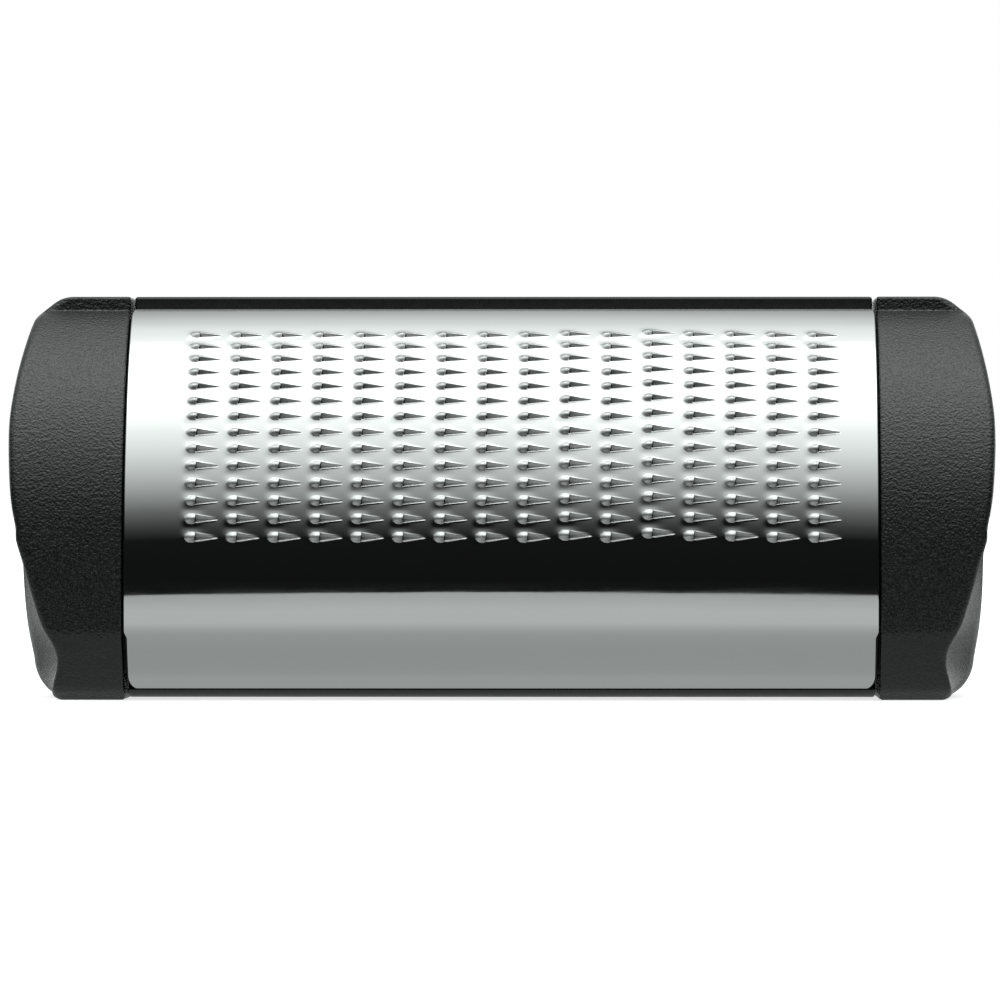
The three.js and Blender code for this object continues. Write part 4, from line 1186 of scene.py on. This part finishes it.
def make_screw(node, body, axis, way):
    """A screw in the place of a node, its head towards one way along an axis."""
    low, high = (np.array(c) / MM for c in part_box(node))
    middle = (low + high) / 2
    seat = (high if way > 0 else low)[axis] - way * HEAD_HEIGHT
    verts = []
    rings = screw_rings(high[axis] - low[axis] - HEAD_HEIGHT)
    for radius, height in rings:
        for i in range(SCREW_SIDES):
            a = 2 * math.pi * i / SCREW_SIDES
            point = middle.copy()
            point[axis] = seat + way * height
            point[(axis + 1) % 3] += way * radius(a) * math.cos(a)
            point[(axis + 2) % 3] += radius(a) * math.sin(a)
            verts.append(point)
    faces = [face[::-1] for face in ring_faces(len(rings), SCREW_SIDES)]
    new_piece(node + "_made", verts, faces, "screw_steel", body, node, sharp=SCREW_SHARP_ANGLE)


for part in frame["record"]["subparts"]:
    kind = part["node"].split("_screw_")
    if len(kind) == 2:
        make_screw(part["node"], *SCREW_HEAD_WAYS[kind[0]])


# Moulded pieces inside, with their edges eased

EASE_FROM = 38
EASED_SHARP_ANGLE = 34
MERGE_DISTANCE = 0.002
FLAT_ANGLE = 1
# Body and width of the edges, by node
EASED = {"plate_carrier": ("container", 0.15), "divider_wall": ("container", 0.2),
         "left_end_frame": ("container", 0.25), "right_end_frame": ("container", 0.25),
         "right_cap_insert": ("drawer", 0.25), "left_cap_insert": ("lid", 0.25),
         "right_seal": ("drawer", 0.2), "left_seal": ("lid", 0.2), "catch_tray": ("drawer", 0.25)}


def eased_copy(node, body, width, slot):
    """A copy of a node's mesh with narrow rounded edges."""
    mesh = frame["nodes"][node].data.copy()
    mesh.name = node + "_eased"
    edit = bmesh.new()
    edit.from_mesh(mesh)
    bmesh.ops.remove_doubles(edit, verts=edit.verts, dist=MERGE_DISTANCE * MM)
    bmesh.ops.dissolve_limit(edit, angle_limit=math.radians(FLAT_ANGLE), verts=edit.verts, edges=edit.edges)
    edit.to_mesh(mesh)
    edit.free()
    piece = new_object(node + "_eased", mesh)
    ease = piece.modifiers.new("ease", "BEVEL")
    ease.width = width * MM
    ease.segments = 2
    ease.limit_method = "ANGLE"
    ease.angle_limit = math.radians(EASE_FROM)
    apply_modifiers(piece, EASED_SHARP_ANGLE)
    hang(piece, slot, body, node)


for part in frame["record"]["subparts"]:
    if part["node"] in EASED:
        eased_copy(part["node"], *EASED[part["node"]], part["material_slot"])


# Studio

# The table's half width in metres, and how far it lies under the feet
TABLE_REACH = 12.0
TABLE_GAP = 0.01
# Its greys: a glow and a paint with the shadow to the camera, and a paint that lights the object
SHOWN_GLOW = 0.72
SHOWN_PAINT = 0.8
LIGHTING_PAINT = 0.78
# What polished metal sees of it: a painted glow, its brightness by distance in metres from a box under the
# object, dimmer close to the box as a painted shadow of the object, brightest about 45 to 71 mm out, and dark
# past its edge
GLOW_INSET = 9.0
TABLE_GLOW = [(0.0, 0.30), (0.0055, 0.51), (0.0065, 0.43), (0.009, 0.42), (0.019, 0.46), (0.029, 0.53),
              (0.045, 0.66), (0.071, 0.67), (0.089, 0.63), (0.134, 0.57), (0.207, 0.54), (0.2095, 0.01)]
TABLE_GLOW_REACH = 0.25
# Brightness of the studio by the sine of the elevation, towards the camera and away from it
SKY_FRONT = [(0.0, 0.008), (0.28, 0.01), (0.35, 0.06), (0.40, 0.12), (0.45, 0.19), (0.535, 0.41),
             (0.625, 0.67), (0.705, 0.91), (0.78, 1.17), (0.85, 1.4), (0.895, 1.67), (0.94, 3.0), (1.0, 3.2)]
SKY_REAR = [(0.0, 1.0), (0.2, 0.8), (0.4, 0.50), (0.7, 0.50), (0.80, 0.54), (0.83, 0.64), (0.853, 0.76),
            (0.875, 0.9), (0.90, 1.02), (0.935, 1.17), (0.961, 1.29), (0.980, 1.45), (0.99, 2.3), (1.0, 3.2)]
SKY_PEAK = 3.2
# The front changes to the rear over this range of Y. The sides count as further to the front.
REAR_START = -0.06
REAR_END = 0.10
SIDE_WRAP = -0.5
STUDIO_TINT = (0.95, 1.0, 0.985)


def ramp(tree, value, stops, reach=1.0, peak=1.0):
    """A ramp of the studio's near-greys, its stops in the units of the value it reads."""
    share = wire(tree, "Math", {0: value, 1: reach}, operation="DIVIDE")
    node = add_node(tree, "ValToRGB", {"Fac": share})
    elements = node.color_ramp.elements
    elements[0].position = stops[0][0] / reach
    elements[-1].position = stops[-1][0] / reach
    for position, grey in stops[1:-1]:
        elements.new(position / reach)
    for element, (position, grey) in zip(elements, stops):
        element.color = (*[grey / peak * tint for tint in STUDIO_TINT], 1)
    return node.outputs["Color"]


def table_surface(tree):
    """It keeps the object's shadow to the camera, and metal sees it as a lit sheet in a dark room, by a
    painted glow with a painted shadow of the object near it.
    """
    footprint = ((CAP_END - GLOW_INSET) * MM, (BACK - GLOW_INSET) * MM, 0)
    beside = wire(tree, "VectorMath", {0: wire(tree, "TexCoord", output="Object")}, operation="ABSOLUTE")
    beside = wire(tree, "VectorMath", {0: beside, 1: footprint}, operation="SUBTRACT")
    beside = wire(tree, "VectorMath", {0: beside, 1: (0, 0, 0)}, operation="MAXIMUM")
    distance = wire(tree, "VectorMath", {0: beside}, "Value", operation="LENGTH")
    # painted light, with a painted shadow near the object, that only reflections see
    glow = wire(tree, "Emission", {"Color": ramp(tree, distance, TABLE_GLOW, TABLE_GLOW_REACH)})
    lighting = wire(tree, "BsdfDiffuse", {"Color": (*[LIGHTING_PAINT] * 3, 1)})
    shown_glow = wire(tree, "Emission", {"Strength": SHOWN_GLOW})
    shown_paint = wire(tree, "BsdfDiffuse", {"Color": (*[SHOWN_PAINT] * 3, 1)})
    shown = wire(tree, "AddShader", {0: shown_glow, 1: shown_paint})
    ray = add_node(tree, "LightPath").outputs
    reflected = wire(tree, "MixShader", {0: ray["Is Glossy Ray"], 1: lighting, 2: glow})
    return wire(tree, "MixShader", {0: ray["Is Camera Ray"], 1: reflected, 2: shown})


def make_table():
    mesh = bpy.data.meshes.new("table")
    r = TABLE_REACH
    z = -TABLE_GAP * MM
    mesh.from_pydata([(-r, -r, z), (r, -r, z), (r, r, z), (-r, r, z)], [], [(0, 1, 2, 3)])
    table = new_object("table", mesh)
    material = bpy.data.materials.new("white_table")
    material.use_nodes = True
    material.node_tree.nodes.clear()
    add_node(material.node_tree, "OutputMaterial", {0: table_surface(material.node_tree)})
    mesh.materials.append(material)


def make_sky():
    """A wide soft light overhead that fades to a dark room at eye level, white to the camera."""
    scene.world = bpy.data.worlds.new("studio")
    scene.world.use_nodes = True
    tree = scene.world.node_tree
    tree.nodes.clear()
    way = add_node(tree, "SeparateXYZ", {0: wire(tree, "TexCoord", output="Generated")}).outputs
    sideways = wire(tree, "Math", {0: way["X"]}, operation="ABSOLUTE")
    turned = wire(tree, "Math", {0: sideways, 1: SIDE_WRAP, 2: way["Y"]}, operation="MULTIPLY_ADD")
    behind = wire(tree, "MapRange", {"Value": turned, "From Min": REAR_START, "From Max": REAR_END})
    front = ramp(tree, way["Z"], SKY_FRONT, peak=SKY_PEAK)
    rear = ramp(tree, way["Z"], SKY_REAR, peak=SKY_PEAK)
    white = (1 / SKY_PEAK,) * 3
    to_camera = wire(tree, "LightPath", output="Is Camera Ray")
    shown = mix(tree, to_camera, mix(tree, behind, front, rear), white)
    background = wire(tree, "Background", {"Color": shown, "Strength": SKY_PEAK})
    add_node(tree, "OutputWorld", {0: background})


make_table()
make_sky()


# Camera: level, a little to the right of the middle, and aimed at the middle of the plate

CAMERA_X = 16.0
CAMERA_DISTANCE = 1150.0
CAMERA_Z = 24.0
AIM_X = -0.12
SENSOR = 36.0
LENS = 340.2


def make_camera():
    data = bpy.data.cameras.new("camera")
    data.sensor_width = SENSOR
    data.lens = LENS
    data.clip_start = 0.05
    data.clip_end = 50
    camera = new_object("camera", data)
    camera.location = (CAMERA_X * MM, -CAMERA_DISTANCE * MM, CAMERA_Z * MM)
    turn = math.atan2(CAMERA_X - AIM_X, CAMERA_DISTANCE + FRONT)
    camera.rotation_euler = (math.radians(90), 0, turn)
    scene.camera = camera
    scene.view_settings.view_transform = "Standard"


make_camera()
